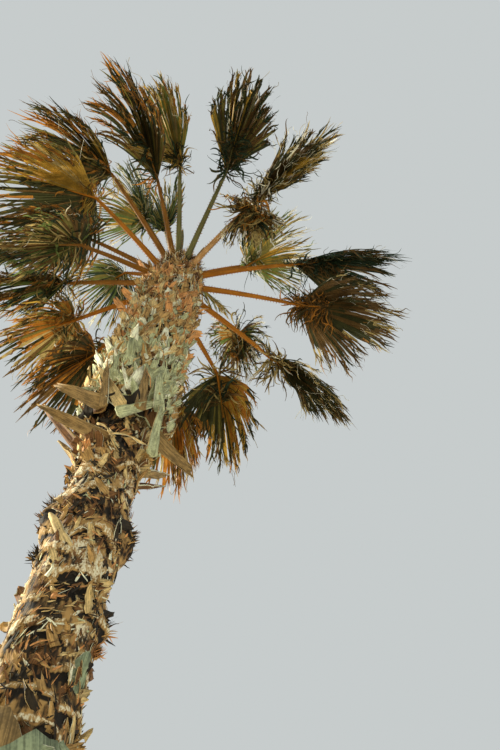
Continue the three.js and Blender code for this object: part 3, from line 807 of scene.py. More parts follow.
# Materials


class Tree:
    """A node tree being built."""

    def __init__(self, tree):
        self.tree = tree

    def node(self, kind, settings=None, sockets=None):
        """A new node. Its settings come first, then the values or links of its sockets."""
        made = self.tree.nodes.new(kind)
        for key, value in (settings or {}).items():
            setattr(made, key, value)
        for key, value in (sockets or {}).items():
            value = getattr(value, "socket", value)
            if isinstance(value, bpy.types.NodeSocket):
                self.tree.links.new(value, made.inputs[key])
            else:
                made.inputs[key].default_value = value
        return made


class Value:
    """A number in a material. Arithmetic on it adds Math nodes."""

    def __init__(self, paint, socket):
        self.paint, self.socket = paint, socket

    def maths(self, operation, *values):
        return self.paint.value("ShaderNodeMath", {"operation": operation}, dict(enumerate(values)))

    def __add__(self, other):
        return self.maths("ADD", self, other)

    def __sub__(self, other):
        return self.maths("SUBTRACT", self, other)

    def __rsub__(self, other):
        return self.maths("SUBTRACT", other, self)

    def __mul__(self, other):
        return self.maths("MULTIPLY", self, other)

    __radd__ = __add__
    __rmul__ = __mul__

    def clear_of(self, low, high):
        """0 below low, 1 above high, and smooth between."""
        settings = {"interpolation_type": "SMOOTHSTEP"}
        return self.paint.value("ShaderNodeMapRange", settings, {"Value": self, 1: low, 2: high})


class Paint(Tree):
    """A material being made."""

    def __init__(self, name):
        self.material = bpy.data.materials.new(name)
        self.material.use_nodes = True
        super().__init__(self.material.node_tree)
        self.tree.nodes.clear()
        self.places = self.node("ShaderNodeTexCoord").outputs["Object"]

    def value(self, *parts):
        """The first output of a new node, as a number."""
        return Value(self, self.node(*parts).outputs[0])

    def noise(self, scale, stretch=(1, 1, 1), detail=3.0, places=None):
        """Noise from 0 to 1, finer along an axis the more it is stretched."""
        mapped = self.node("ShaderNodeMapping", None, {"Vector": places or self.places, "Scale": stretch})
        sockets = {"Vector": mapped.outputs[0], "Scale": scale, "Detail": detail}
        return self.value("ShaderNodeTexNoise", None, sockets)

    def mix(self, factor, low, high):
        """A colour between two, the second at a factor of 1."""
        colours = {0: factor, 6: rgba(low), 7: rgba(high)}
        return self.node("ShaderNodeMix", {"data_type": "RGBA"}, colours).outputs[2]

    def finish(self, base, roughness, height, depth=0.003, through=0.0, specular=0.3):
        """The material, with bumps of that depth and a share of light let through."""
        bump = self.node("ShaderNodeBump", None, {"Height": height, "Distance": depth, "Strength": 0.7})
        sockets = {
            "Base Color": base,
            "Roughness": roughness,
            "Normal": bump.outputs[0],
            "Specular IOR Level": specular,
        }
        shader = self.node("ShaderNodeBsdfPrincipled", None, sockets).outputs[0]
        if through:
            behind = self.node("ShaderNodeBsdfTranslucent", None, {"Color": base}).outputs[0]
            shader = self.node("ShaderNodeMixShader", None, {0: through, 1: shader, 2: behind}).outputs[0]
        self.node("ShaderNodeOutputMaterial", None, {"Surface": shader})
        return self.material


def rgba(value):
    """A colour with full alpha. A link stays as it is."""
    return (*value, 1.0) if isinstance(value, (tuple, list)) else value


def scaled(base, factor):
    """A colour made darker or lighter."""
    return tuple(min(1.0, c * factor) for c in base)


def leaf_paint(name, base, through=0.25):
    """A dry leaf: a plain colour, a little uneven, with fine veins."""
    paint = Paint(name)
    blotch = paint.noise(9.0, detail=4.0)
    fine = paint.noise(60.0, (1, 1, 0.4))
    mask = (0.65 * blotch + 0.35 * fine).clear_of(0.36, 0.64)
    mixed = paint.mix(mask, scaled(base, 0.72), scaled(base, 1.22))
    return paint.finish(mixed, 0.5 + 0.25 * fine, fine, 0.002, through)


def wood_paint(name, base):
    """A weathered leaf base: grain along it, darker flecks and pale wear."""
    paint = Paint(name)
    along = paint.node("ShaderNodeUVMap", {"uv_map": "UVMap"}).outputs[0]
    grain = paint.noise(1.0, (160, 9, 1), 4.0, along)
    blotch = paint.noise(14.0, detail=4.0)
    fine = paint.noise(90.0, detail=3.0)
    mask = (0.5 * grain + 0.3 * blotch + 0.2 * fine).clear_of(0.4, 0.6)
    mixed = paint.mix(mask, scaled(base, 0.55), scaled(base, 1.3))
    return paint.finish(mixed, 0.75 + 0.2 * blotch, 0.7 * grain + 0.3 * fine, 0.005)


def stalk_paint(name, base, edge):
    """A stalk: long streaks along it, and paler patches of its edge colour."""
    paint = Paint(name)
    along = paint.node("ShaderNodeUVMap", {"uv_map": "UVMap"}).outputs[0]
    streaks = paint.noise(1.0, (70, 5, 1), 5.0, along)
    blotch = paint.noise(7.0, detail=4.0)
    mask = (0.6 * streaks + 0.4 * blotch).clear_of(0.38, 0.62)
    mixed = paint.mix(mask, scaled(base, 0.6), base)
    worn = paint.noise(1.0, (30, 14, 1), 6.0, along).clear_of(0.58, 0.72)
    return paint.finish(paint.mix(worn, mixed, edge), 0.5 + 0.3 * streaks, streaks, 0.003, specular=0.2)


def bark_paint(stem):
    """Bark: dark hollows and bands of painted shade, brown and tan fibre, and pale rims."""
    paint = Paint("bark")
    fibres = paint.noise(48.0, (1, 1, 0.18), 6.0)
    patches = paint.noise(9.0, (1, 1, 1.6), 4.0)
    fine = paint.noise(120.0, (1, 1, 0.5), 4.0)
    kept = paint.node("ShaderNodeAttribute", {"attribute_name": "shade"})
    shade = Value(paint, kept.outputs["Fac"])
    mixed = paint.mix(fibres.clear_of(0.4, 0.62), tuple(stem.dark), tuple(stem.brown))
    mixed = paint.mix((0.6 * patches + 0.4 * fibres).clear_of(0.42, 0.56), mixed, tuple(stem.tan))
    worn = (0.5 * fibres + 0.5 * fine).clear_of(0.42, 0.58)
    pale = paint.mix(worn, scaled(stem.tan, 0.9), scaled(stem.cream, 0.9))
    mixed = paint.mix((shade + 0.8 * fine - 0.4).clear_of(0.6, 0.85), mixed, pale)
    # Painted shade: where the shade attribute is low, in hollows, under edges and inside the column, the
    # bark goes deep brown
    dark = (shade + 0.4 * fibres - 0.2).clear_of(0.12, 0.42)
    mixed = paint.mix(dark, scaled(stem.dark, 0.45), mixed)
    return paint.finish(mixed, 0.8 + 0.2 * fine, 0.7 * fibres + 0.3 * fine, 0.008)


def tone_paints(names, make, group, colours):
    """The materials of a row of tones, made the first time that they are asked for."""
    if names[0] not in bpy.data.materials:
        for name, key in zip(names, colours):
            make(name, tuple(getattr(group, key)))
    return [bpy.data.materials[name] for name in names]


def leaf_paints():
    """The leaves' materials, in the order of their letters."""
    names = ["leaf_" + tone for tone in LEAF_TONES]
    return tone_paints(names, leaf_paint, bpy.context.scene.palm_fans, LEAF_COLOURS)


def stem_paints():
    """The stem's materials, in the order of their names."""
    names = ["stem_" + tone for tone in STEM_TONES]
    return tone_paints(names, wood_paint, bpy.context.scene.palm_stem, STEM_TONES)


# Geometry Nodes


class Nodes(Tree):
    """A Geometry Nodes tree with named inputs, run once on an object and then turned into a mesh."""

    def __init__(self, name, **inputs):
        super().__init__(bpy.data.node_groups.new(name, "GeometryNodeTree"))
        self.tree.interface.new_socket("Geometry", in_out="INPUT", socket_type="NodeSocketGeometry")
        self.tree.interface.new_socket("Geometry", in_out="OUTPUT", socket_type="NodeSocketGeometry")
        self.values = {}
        for key, value in inputs.items():
            kind = "NodeSocketInt" if isinstance(value, int) else "NodeSocketFloat"
            made = self.tree.interface.new_socket(key, in_out="INPUT", socket_type=kind)
            self.values[made.identifier] = value
        self.inputs = self.node("NodeGroupInput").outputs

    def run(self, carrier, geometry, material):
        """The tree's result on the carrier, as one plain mesh with that material."""
        real = self.node("GeometryNodeRealizeInstances", None, {"Geometry": geometry})
        sockets = {"Geometry": real.outputs[0], "Material": material}
        painted = self.node("GeometryNodeSetMaterial", None, sockets)
        self.node("NodeGroupOutput", None, {"Geometry": painted.outputs[0]})
        modifier = carrier.modifiers.new("Nodes", "NODES")
        modifier.node_group = self.tree
        for identifier, value in self.values.items():
            modifier[identifier] = value
        bpy.context.view_layer.update()
        seen = carrier.evaluated_get(bpy.context.evaluated_depsgraph_get())
        mesh = bpy.data.meshes.new_from_object(seen)
        bpy.data.objects.remove(carrier)
        return mesh


def line_carrier(name, lines, **vectors):
    """An object of open lines of points, with named vectors kept on the points."""
    number, steps = lines.shape[:2]
    mesh = bpy.data.meshes.new(name)
    mesh.vertices.add(number * steps)
    mesh.vertices.foreach_set("co", lines.astype(np.float32).ravel())
    starts = (np.arange(number)[:, None] * steps + np.arange(steps - 1)).ravel()
    mesh.edges.add(len(starts))
    mesh.edges.foreach_set("vertices", np.stack([starts, starts + 1], 1).astype(np.int32).ravel())
    for key, values in vectors.items():
        kept = mesh.attributes.new(key, "FLOAT_VECTOR", "POINT")
        kept.data.foreach_set("vector", values.astype(np.float32).ravel())
    carrier = bpy.data.objects.new(name, mesh)
    bpy.context.scene.collection.objects.link(carrier)
    return carrier


def join(name, meshes, slot):
    """One piece from several meshes."""
    made = [bpy.data.objects.new(name, mesh) for mesh in meshes]
    for one in made:
        bpy.context.scene.collection.objects.link(one)
    with bpy.context.temp_override(active_object=made[0], selected_editable_objects=made):
        bpy.ops.object.join()
    made[0].name = name
    return settle(made[0], slot)


def threads_from(lines, radius, material):
    """Round threads along open lines."""
    carrier = line_carrier("thread_lines", lines)
    nodes = Nodes("Threads", Radius=radius)
    curve = nodes.node("GeometryNodeMeshToCurve", None, {"Mesh": nodes.inputs["Geometry"]})
    sockets = {"Resolution": 3, "Radius": nodes.inputs["Radius"]}
    ring = nodes.node("GeometryNodeCurvePrimitiveCircle", None, sockets)
    sockets = {"Curve": curve.outputs[0], "Profile Curve": ring.outputs[0]}
    tube = nodes.node("GeometryNodeCurveToMesh", None, sockets)
    return nodes.run(carrier, tube.outputs[0], material)


# The pieces


class PALM_OT_stage(bpy.types.Operator):
    """Lays the pale floor, sets the soft light and places the camera below the crown"""

    bl_idname = "palm.stage"
    bl_label = "Stage"

    def execute(self, context):
        self.floor(context.scene)
        self.light(context.scene)
        self.camera(context.scene)
        return {"FINISHED"}

    def floor(self, scene):
        """A plain pale floor round the trunk's foot."""
        mesh = bpy.data.meshes.new("floor")
        corners = ((-1, -1), (1, -1), (1, 1), (-1, 1))
        mesh.from_pydata([(x * FLOOR_REACH, y * FLOOR_REACH, 0) for x, y in corners], [], [(0, 1, 2, 3)])
        paint = Paint("floor")
        grain = paint.noise(3.0)
        mixed = paint.mix(grain, tint("c9c6bf"), tint("d4d1ca"))
        mesh.materials.append(paint.finish(mixed, 0.9, grain))
        ground = bpy.data.objects.new("floor", mesh)
        scene.collection.objects.link(ground)

    def light(self, scene):
        """An even sky and one warm sun."""
        scene.world = bpy.data.worlds.new("studio")
        scene.world.use_nodes = True
        sky = scene.world.node_tree.nodes["Background"].inputs
        sky["Color"].default_value = rgba(tint("e6ecec"))
        sky["Strength"].default_value = SKY_STRENGTH
        sun = bpy.data.lights.new("key", "SUN")
        sun.energy = SUN_STRENGTH
        sun.angle = SUN_SIZE
        sun.color = SUN_COLOUR
        lamp = bpy.data.objects.new("key", sun)
        lamp.rotation_euler = [radians(turn) for turn in SUN_TURNS]
        scene.collection.objects.link(lamp)
        scene.view_settings.view_transform = "Standard"

    def camera(self, scene):
        """The camera, at eye height beside the trunk and tilted up to the crown."""
        lens = bpy.data.cameras.new("camera")
        lens.lens = CAMERA_LENS
        lens.clip_end = CAMERA_REACH
        camera = bpy.data.objects.new("camera", lens)
        camera.location = CAMERA_PLACE
        camera.rotation_euler = (radians(90 + CAMERA_TILT), 0, 0)
        scene.collection.objects.link(camera)
        scene.camera = camera


class PALM_OT_trunk(bpy.types.Operator):
    """Builds the trunk with its bark's relief from the ground to the bud"""

    bl_idname = "palm.trunk"
    bl_label = "Trunk"

    def execute(self, context):
        stem = context.scene.palm_stem
        angle = np.linspace(0, 2 * pi, stem.around, endpoint=False)[None]
        z = np.linspace(0, NECK, stem.tall)[:, None] + 0 * angle
        angle = angle + 0 * z
        relief, shade = self.relief(stem, angle, z)
        inner = np.maximum(0, 0.5 * column_reach(z) - SLEEVE_SINK)
        quiet = np.minimum(1, z / QUIET_HEIGHT)
        radius = trunk_radius(z, angle) + relief * quiet + inner
        points = axis_at(z[:, 0])[:, None] + heading(np.degrees(angle), 0) * radius[..., None]
        tops = []
        for part in np.linspace(0, 1, DOME_STEPS)[1:-1]:
            wide = (radius[-1] * np.sqrt(1 - part**2))[:, None]
            tops.append(axis_at(NECK + DOME_HEIGHT * part) + heading(np.degrees(angle[-1]), 0) * wide)
        rows = np.concatenate([points, np.array(tops)])
        heap = Heap()
        heap.add(rows, grids(1, len(rows), stem.around, wrap=True), 0)
        around = np.arange(stem.around // 2 - 1)
        last = (len(rows) - 1) * stem.around
        pairs = np.stack([around, around + 1, stem.around - 2 - around, stem.around - 1 - around], 1)
        heap.faces += [pairs[:, ::-1], pairs + last]
        heap.tones += [np.zeros(len(pairs), int)] * 2
        trunk = heap.make("bark", [bark_paint(stem)], "bark", "trunk")
        kept = trunk.data.attributes.new("shade", "FLOAT", "POINT")
        values = np.zeros(heap.count)
        # Inside the column of leaf bases the bark is darkened as painted shade
        values[: z.size] = np.clip(0.5 + shade - 6 * inner, 0, 1).ravel()
        kept.data.foreach_set("value", values.astype(np.float32))
        return {"FINISHED"}

    def relief(self, stem, angle, z):
        """How far the bark stands out, and how pale (above nought) or dark (below) it is."""
        scale, shade = self.scales(stem, angle, z)
        fibre = noise(angle + 0.9 * z, z, 90, 0.16, 3) + 0.6 * noise(angle, z, 56, 0.035, 4)
        lumps = noise(angle, z, 7, 0.2, 5) + 0.6 * noise(angle - 0.8 * z, z, 21, 0.07, 6)
        relief = scale + 0.004 * fibre + 0.007 * lumps
        shade = shade + 0.16 * fibre
        for turn, height, wide, high, out, pale in BARK_SPOTS:
            off = (np.degrees(angle) - turn + 180) % 360 - 180
            spot = np.exp(-((off / wide) ** 2) - ((z - height) / high) ** 2) ** 0.8
            relief = relief + out * spot
            shade = shade + 0.5 * pale * spot
        return relief, shade

    def scales(self, stem, angle, z):
        """Old clasping leaf bases: arched lower edges that overhang a hollow, with a band of painted
        shadow just under each edge.
        """
        rng = np.random.default_rng(SEEDS["bark"])
        relief, shade = np.zeros(z.shape), np.zeros(z.shape)
        for k, height in enumerate(np.arange(0.1, COLUMN_FOOT + 0.2, SCALE_PITCH)):
            for turn in k * SCALE_TURN + np.arange(3) * 120 + rng.uniform(-18, 18, 3):
                wide, high = rng.uniform(42, 64), rng.uniform(0.17, 0.28)
                across = ((np.degrees(angle) - turn + 180) % 360 - 180) / wide
                up = (z - height) / high + rng.uniform(0.3, 0.7) * across**2
                up = up + 0.12 * noise(angle, z, 17, 0.09, 200 + k)
                inside = (abs(across) < 1) & (up > 0) & (up < 1)
                slope = np.clip(1 - up, 0, 1) ** 1.3
                lift = stem.relief * rng.uniform(0.6, 1.6) * slope * (1 - across**4)
                lifted = inside & (lift > relief)
                relief = np.where(lifted, lift, relief)
                rim = np.where(up < 0.16, 0.34, rng.uniform(-0.25, 0.2))
                shade = np.where(lifted, rim, shade)
                # Painted shadow: the band just under an overhanging edge is darkened
                under = (abs(across) < 0.9) & (up <= 0) & (up > -0.2) & (relief < 0.7 * stem.relief)
                shade = np.where(under, -0.5, shade)
        return relief, shade


class PALM_OT_scraps(bpy.types.Operator):
    """Covers the bare trunk with torn remains of leaf bases and with fibres"""

    bl_idname = "palm.scraps"
    bl_label = "Bark scraps"

    def execute(self, context):
        stem = context.scene.palm_stem
        rng = np.random.default_rng(SEEDS["scraps"])
        plates, strands = Heap(), Heap()
        feet, tips, width, tones = from_table(CLASPS)
        rims = np.full(len(CLASPS), STEM_TONES.index("cream"))
        arc = np.array([row[7] for row in CLASPS])
        spans(plates, feet, tips, width, 0.012, tones, rims, rng, arc=arc, **CLASP_SHAPE)
        self.plates(rng, plates, stem.plates)
        self.strips(rng, strands, stem)
        plates.make("bark_plates", stem_paints(), "leaf_base", *STUB_NODES)
        strands.make("bark_strips", stem_paints(), "leaf_base", *STUB_NODES)
        return {"FINISHED"}

    def plates(self, rng, heap, number):
        """Small torn plates, pale, brown and dark, the long ones never orange."""
        z, turn = rng.uniform(0.12, COLUMN_FOOT, number), rng.uniform(0, 360, number)
        out = heading(turn, 0)
        foot = on_trunk(z, turn, rng.uniform(-0.008, 0.014, number))
        lean, side = rng.uniform(-6, 20, number), rng.uniform(-1.6, 1.6, number)
        direction = heading(turn, 90 - lean) + np.cross(UP, out) * side[:, None]
        long = rng.uniform(0.04, 0.15, number)
        width = long * rng.uniform(0.25, 0.65, number)
        size = np.stack([long, width, rng.uniform(0.004, 0.010, number)], 1)
        names = ("tan", "sand", "cream", "brown", "brown", "brown", "dark", "dark", "orange")
        tones = pick(rng, names, number)
        rims = pick(rng, ("cream", "sand", "dark"), number)
        tones = np.where(long > 0.09, pick(rng, ("tan", "brown", "sand", "dark"), number), tones)
        bend = rng.uniform(-0.1, 0.25, number)
        planks(heap, foot, direction, out, size, tones, rims, rng, bend=bend, **PLATE_SHAPE)

    def strips(self, rng, heap, stem):
        """Torn strips in pale and dark patches that lie alike, and the frayed tufts."""
        number = stem.strips
        z, turn = rng.uniform(0.08, COLUMN_FOOT + 0.1, number), rng.uniform(0, 360, number)
        lie = noise(np.radians(turn), z, 5, 0.25, 8) * 1.1 + rng.normal(0, 0.55, number)
        names = ("tan", "sand", "cream", "tan", "brown", "dark", "brown", "orange", "dark", "sage")
        patch = noise(np.radians(turn), z, 9, 0.16, 9) + rng.normal(0, 0.2, number)
        tones = np.where(patch > 0.3, pick(rng, names[:4], number), pick(rng, names, number))
        at, wide, height, high = SHADED_HOLLOW
        # Strips in the front hollow take dark tones: painted shade
        hollow = (abs(turn - at) < wide) & (abs(z - height) < high)
        tones = np.where((patch < -0.05) | hollow, pick(rng, names[4:9], number), tones)
        reach = rng.uniform(0.02, 0.085, number)
        self.shreds(rng, heap, z, turn, lie, rng.uniform(-0.15, 0.2, number), reach, tones)
        number = stem.tuft
        for at, height, wide, high, far, tone in TUFTS:
            z, turn = rng.normal(height, high / 2, number), rng.normal(at, wide / 2, number)
            tones = pick(rng, (tone, tone, "dark", "tan"), number)
            reach = far * rng.uniform(0.3, 0.9, number)
            lie, outward = rng.normal(0, 0.8, number), rng.uniform(0.3, 2, number)
            self.shreds(rng, heap, z, turn, lie, outward, reach, tones)

    def shreds(self, rng, heap, z, turn, lie, outward, reach, tones):
        """Flat torn fibres from points on the bark."""
        number = len(z)
        start = on_trunk(z, turn, rng.uniform(0.0, 0.022, number))
        line, across = fibres(rng, start, turn, lie, outward, reach, rng.uniform(0.0, 0.4, number))
        half = rng.uniform(0.0015, 0.0075, (number, 1)) * FINE_FIBRE
        strips(heap, line, across, half, rng.uniform(0.1, 0.7, (number, 1)), tones[:, None])


class PALM_OT_bases(bpy.types.Operator):
    """Builds the column of old split leaf bases under the crown, woven across one another"""

    bl_idname = "palm.bases"
    bl_label = "Leaf bases"

    def execute(self, context):
        stem = context.scene.palm_stem
        rng = np.random.default_rng(SEEDS["bases"])
        heap, strands = Heap(), Heap()
        per_row = stem.per_row
        for k, height in enumerate(np.arange(COLUMN_FOOT + 0.02, NECK, stem.row_pitch)):
            first = (k % 2) * 180 / per_row + k * 3
            turn = first + np.arange(per_row) * 360 / per_row + rng.uniform(-4, 4, per_row)
            z = height + rng.uniform(-0.025, 0.025, per_row)
            for sign in (-1, 1):
                self.legs(stem, rng, heap, turn, z, sign)
            self.stubs(stem, rng, heap, turn, z)
        self.cut_stalks(rng, heap)
        self.mat(rng, strands, stem.mat)
        self.shreds(rng, strands, stem.frayed)
        heap.make("leaf_bases", stem_paints(), "leaf_base", *BASE_NODES)
        strands.make("head_fibres", stem_paints(), "leaf_base", *BASE_NODES)
        return {"FINISHED"}

    def tones(self, rng, z):
        """Grey-green low down, tan and orange higher up, brown at the head."""
        number = len(z)
        low = pick(rng, ("sage", "sage", "cream", "sage", "tan", "sand"), number)
        middle = pick(rng, ("sand", "tan", "sage", "tan", "sand", "cream", "orange"), number)
        high = pick(rng, ("brown", "sand", "tan", "orange", "orange", "tan"), number)
        level = z + rng.uniform(-0.5, 0.5, number)
        return np.where(level < LOW_BASES, low, np.where(level < HIGH_BASES, middle, high))

    def legs(self, stem, rng, heap, turn, z, sign):
        """One half of each split base, from beside its middle up across it."""
        number = len(turn)
        reach = column_reach(z + 0.1)
        size = np.interp(z, (6.2, 8.4), (1.2, 0.85))
        aside = turn + sign * rng.uniform(10, 20, number)
        feet = on_trunk(z - 0.1 * size, aside, reach * rng.uniform(0.3, 0.5, number))
        high = z + stem.base_length * size * rng.uniform(0.3, 0.65, number)
        aside = turn - sign * rng.uniform(0, 13, number)
        tips = on_trunk(high, aside, reach * rng.uniform(0.82, 0.98, number))
        width = stem.base_width * size * rng.uniform(0.75, 1.2, number)
        rims = pick(rng, ("cream", "tan", "sand"), number)
        thick = rng.uniform(0.012, 0.02, number)
        # The dark and brown roots are painted shade at the feet of the bases
        shape = dict(LEG_SHAPE, root=pick(rng, ("dark", "brown", "dark"), number))
        shape["bend"] = rng.uniform(-0.1, 0.12, number)
        shape["arc"] = rng.uniform(-0.18, 0.18, number)
        spans(heap, feet, tips, width, thick, self.tones(rng, z), rims, rng, **shape)

    def stubs(self, stem, rng, heap, turn, z):
        """The cut end of each leaf's stalk, standing out between its halves."""
        number = len(turn)
        reach = column_reach(z + 0.1)
        size = np.interp(z, (6.6, 8.2), (1.15, 0.8))
        feet = on_trunk(z, turn, reach * 0.55)
        high = z + size * rng.uniform(0.06, 0.16, number)
        tips = on_trunk(high, turn + rng.uniform(-9, 9, number), reach * rng.uniform(0.85, 1.08, number))
        width = stem.base_width * size * rng.uniform(0.5, 0.9, number)
        rims = pick(rng, ("cream", "sand", "orange", "brown"), number)
        thick = rng.uniform(0.02, 0.036, number)
        # The dark and brown roots are painted shade at the feet of the stubs
        shape = dict(STUB_SHAPE, root=pick(rng, ("dark", "brown"), number))
        spans(heap, feet, tips, width, thick, self.tones(rng, z), rims, rng, **shape)

    def cut_stalks(self, rng, heap):
        """Longer cut stalks that show among the leaf bases and at the head."""
        feet, tips, width, tones = from_table(CUT_STALKS)
        rims = pick(rng, ("cream", "orange", "sand"), len(CUT_STALKS))
        spans(heap, feet, tips, width, 0.022, tones, rims, rng, **CUT_SHAPE)

    def mat(self, rng, heap, number):
        """Tangled fibres in the gaps and thick around the head."""
        z = MAT_TOP - MAT_HEIGHT * rng.random(number) ** 2.4
        turn = rng.uniform(0, 360, number)
        start = on_trunk(z, turn, column_reach(z) * rng.uniform(0.5, 1.0, number))
        lie, outward = rng.normal(0, 0.9, number), rng.uniform(-0.2, 0.5, number)
        reach, curl = rng.uniform(0.05, 0.2, number), rng.uniform(0.3, 1.2, number)
        line, across = fibres(rng, start, turn, lie, outward, reach, curl)
        half = rng.uniform(0.0015, 0.006, (number, 1)) * FINE_FIBRE
        tones = pick(rng, ("brown", "brown", "dark", "tan", "orange", "sand", "dark", "cream"), number)
        strips(heap, line, across, half, 0.4 + 0 * half[:, :1], tones[:, None])

    def shreds(self, rng, heap, number):
        """Frayed strips that lie along the halves of the bases."""
        z, turn = rng.uniform(COLUMN_FOOT + 0.1, 8.9, number), rng.uniform(0, 360, number)
        start = on_trunk(z, turn, column_reach(z) * rng.uniform(0.65, 0.95, number))
        lie = np.where(rng.random(number) < 0.5, -0.5, 0.5) + rng.normal(0, 0.3, number)
        outward = rng.uniform(0.0, 0.5, number)
        reach, curl = rng.uniform(0.04, 0.15, number), rng.uniform(0.1, 0.6, number)
        line, across = fibres(rng, start, turn, lie, outward, reach, curl)
        half = rng.uniform(0.006, 0.021, (number, 1)) * BROAD_FIBRE
        fold = rng.uniform(0.2, 0.9, (number, 1))
        strips(heap, line, across, half, fold, self.tones(rng, z)[:, None])


class PALM_OT_broken(bpy.types.Operator):
    """Builds the long broken stalks that stick out of the column's foot"""

    bl_idname = "palm.broken"
    bl_label = "Broken stalks"

    def execute(self, context):
        rng = np.random.default_rng(SEEDS["broken"])
        heap = Heap()
        feet, tips, width, tones = from_table(BROKEN_STALKS)
        rims = pick(rng, ("cream", "sand"), len(BROKEN_STALKS))
        bend, arc = np.array([row[7:9] for row in BROKEN_STALKS]).T
        spans(heap, feet, tips, width, 0.018, tones, rims, rng, bend=bend, arc=arc, **BROKEN_SHAPE)
        self.flakes(rng, heap, context.scene.palm_stem.flakes)
        heap.make("broken_ends", stem_paints(), "leaf_base", "broken_stalks")
        return {"FINISHED"}

    def flakes(self, rng, heap, number):
        """Thin peeling flakes under the broken stalks, at the front only low down."""
        turn, z = rng.uniform(0, 360, number), rng.uniform(*FLAKE_HEIGHTS, number)
        front, wide = FLAKE_FRONT
        kept = (abs(turn - front) > wide) | (z < LOW_FLAKES)
        turn, z = turn[kept], z[kept]
        number = len(z)
        out = heading(turn, 0)
        rise = 90 - rng.uniform(8, 50, number)
        direction = heading(turn, rise) + np.cross(UP, out) * rng.uniform(-0.9, 0.9, (number, 1))
        long = rng.uniform(0.05, 0.12, number)
        size = np.stack([long, long * rng.uniform(0.3, 0.6, number), np.full(number, 0.006)], 1)
        tones = pick(rng, ("orange", "tan", "brown", "brown", "sand", "dark"), number)
        rims = pick(rng, ("cream", "sand", "brown", "tan"), number)
        bend = rng.uniform(-0.1, 0.5, number)
        foot = on_trunk(z, turn, 0.0)
        planks(heap, foot, direction, out, size, tones, rims, rng, bend=bend, **FLAKE_SHAPE)


class PALM_OT_stalks(bpy.types.Operator):
    """Builds the fans' stalks and the thorns along their edges"""

    bl_idname = "palm.stalks"
    bl_label = "Stalks"

    def execute(self, context):
        fans = context.scene.palm_fans
        heap = Heap()
        section = np.array(STALK_SECTION)
        edges, outwards = [], []
        for f in FRONDS:
            middle = (f.foot + f.hub) / 2 + UP * STALK_ARCH * f.stalk
            t = np.linspace(0, 1, STALK_STEPS)[:, None]
            line = (1 - t) ** 2 * f.foot + 2 * t * (1 - t) * middle + t**2 * f.hub
            rib = f.hub + f.along * RIB_SHARE * f.blade * np.array(RIB_STEPS)[:, None]
            line = np.concatenate([line, rib])
            tangent = unit(np.gradient(line, axis=0))
            side = unit(np.cross(tangent, UP))
            normal = np.cross(side, tangent)
            part = np.concatenate([t[:, 0], np.ones(len(RIB_STEPS))])
            sheath = 1 + 0.7 * np.exp(-part / 0.05)
            ends = np.concatenate([np.ones(STALK_STEPS), RIB_WIDTHS])
            half = (fans.stalk_width + (fans.stalk_tip - fans.stalk_width) * part) / 2 * sheath * ends
            thick = fans.stalk_thickness * (1 - 0.35 * part) / 2 * ends
            ring = (
                line[:, None]
                + side[:, None] * (half[:, None] * section[:, 0])[..., None]
                + normal[:, None] * (thick[:, None] * section[:, 1])[..., None]
            )
            own = np.linspace(0, 0.8, len(section))[None] + 3.1 * f.number
            maps = np.stack(np.broadcast_arrays(own, part[:, None] * f.stalk), -1)
            tone = next((k + 1 for k, kind in enumerate(STALK_KINDS) if f.number in kind), 0)
            faces = grids(1, len(line), len(section), wrap=True)
            heap.add(ring, faces[:, ::-1], tone, maps)
            for sign in (-1, 1):
                edges.append((line + side * (half * sign)[:, None])[1:STALK_STEPS])
                outwards.append((side * sign * 0.9 + tangent * 0.3)[1:STALK_STEPS])
        paints = []
        for kind, edge in STALK_EDGES.items():
            paints.append(stalk_paint(kind, tuple(getattr(fans, kind)), tint(edge)))
        heap.make("stalks", paints, "frond", *FROND_NODES)
        self.thorns(fans, np.array(edges), np.array(outwards))
        return {"FINISHED"}

    def thorns(self, fans, edges, outwards):
        """Thorns along both edges of every stalk, aimed outwards."""
        carrier = line_carrier("stalk_edges", edges, outward=outwards)
        nodes = Nodes("Thorns", Pitch=fans.thorn_pitch, Seed=SEEDS["thorns"])
        curve = nodes.node("GeometryNodeMeshToCurve", None, {"Mesh": nodes.inputs["Geometry"]})
        sockets = {"Curve": curve.outputs[0], "Length": nodes.inputs["Pitch"]}
        spaced = nodes.node("GeometryNodeResampleCurve", {"mode": "LENGTH"}, sockets)
        sockets = {"Vertices": 4, "Radius Top": 0.0, "Radius Bottom": THORN_RADIUS, "Depth": THORN_LENGTH}
        thorn = nodes.node("GeometryNodeMeshCone", {"fill_type": "NONE"}, sockets)
        settings = {"data_type": "FLOAT_VECTOR"}
        outward = nodes.node("GeometryNodeInputNamedAttribute", settings, {"Name": "outward"})
        sockets = {"Vector": outward.outputs[0]}
        aimed = nodes.node("FunctionNodeAlignRotationToVector", {"axis": "Z"}, sockets)
        sockets = {2: 0.5, 3: 1.2, "Seed": nodes.inputs["Seed"]}
        size = nodes.node("FunctionNodeRandomValue", {"data_type": "FLOAT"}, sockets)
        sockets = {
            "Points": spaced.outputs[0],
            "Instance": thorn.outputs["Mesh"],
            "Rotation": aimed.outputs[0],
            "Scale": size.outputs[1],
        }
        placed = nodes.node("GeometryNodeInstanceOnPoints", None, sockets)
        mesh = nodes.run(carrier, placed.outputs[0], leaf_paints()[LEAF_TONES.index("r")])
        settle(bpy.data.objects.new("thorns", mesh), "frond")


def fan_shares(rng, number, split):
    """Shares of each ray at which its strip has a section, in the blade and past the split."""
    ends = split + rng.uniform(-0.06, 0.08, (number, 1))
    near = np.linspace(0, 1, BLADE_STEPS + 1)[None] * ends
    far = ends + np.linspace(0, 1, FREE_STEPS + 1)[None, 1:] * (1 - ends)
    return np.concatenate([near, far], 1), ends


def pointed(steps):
    """Widths along a strip that ends in a point."""
    return 1.1 - np.linspace(0, 1, steps) ** 1.7


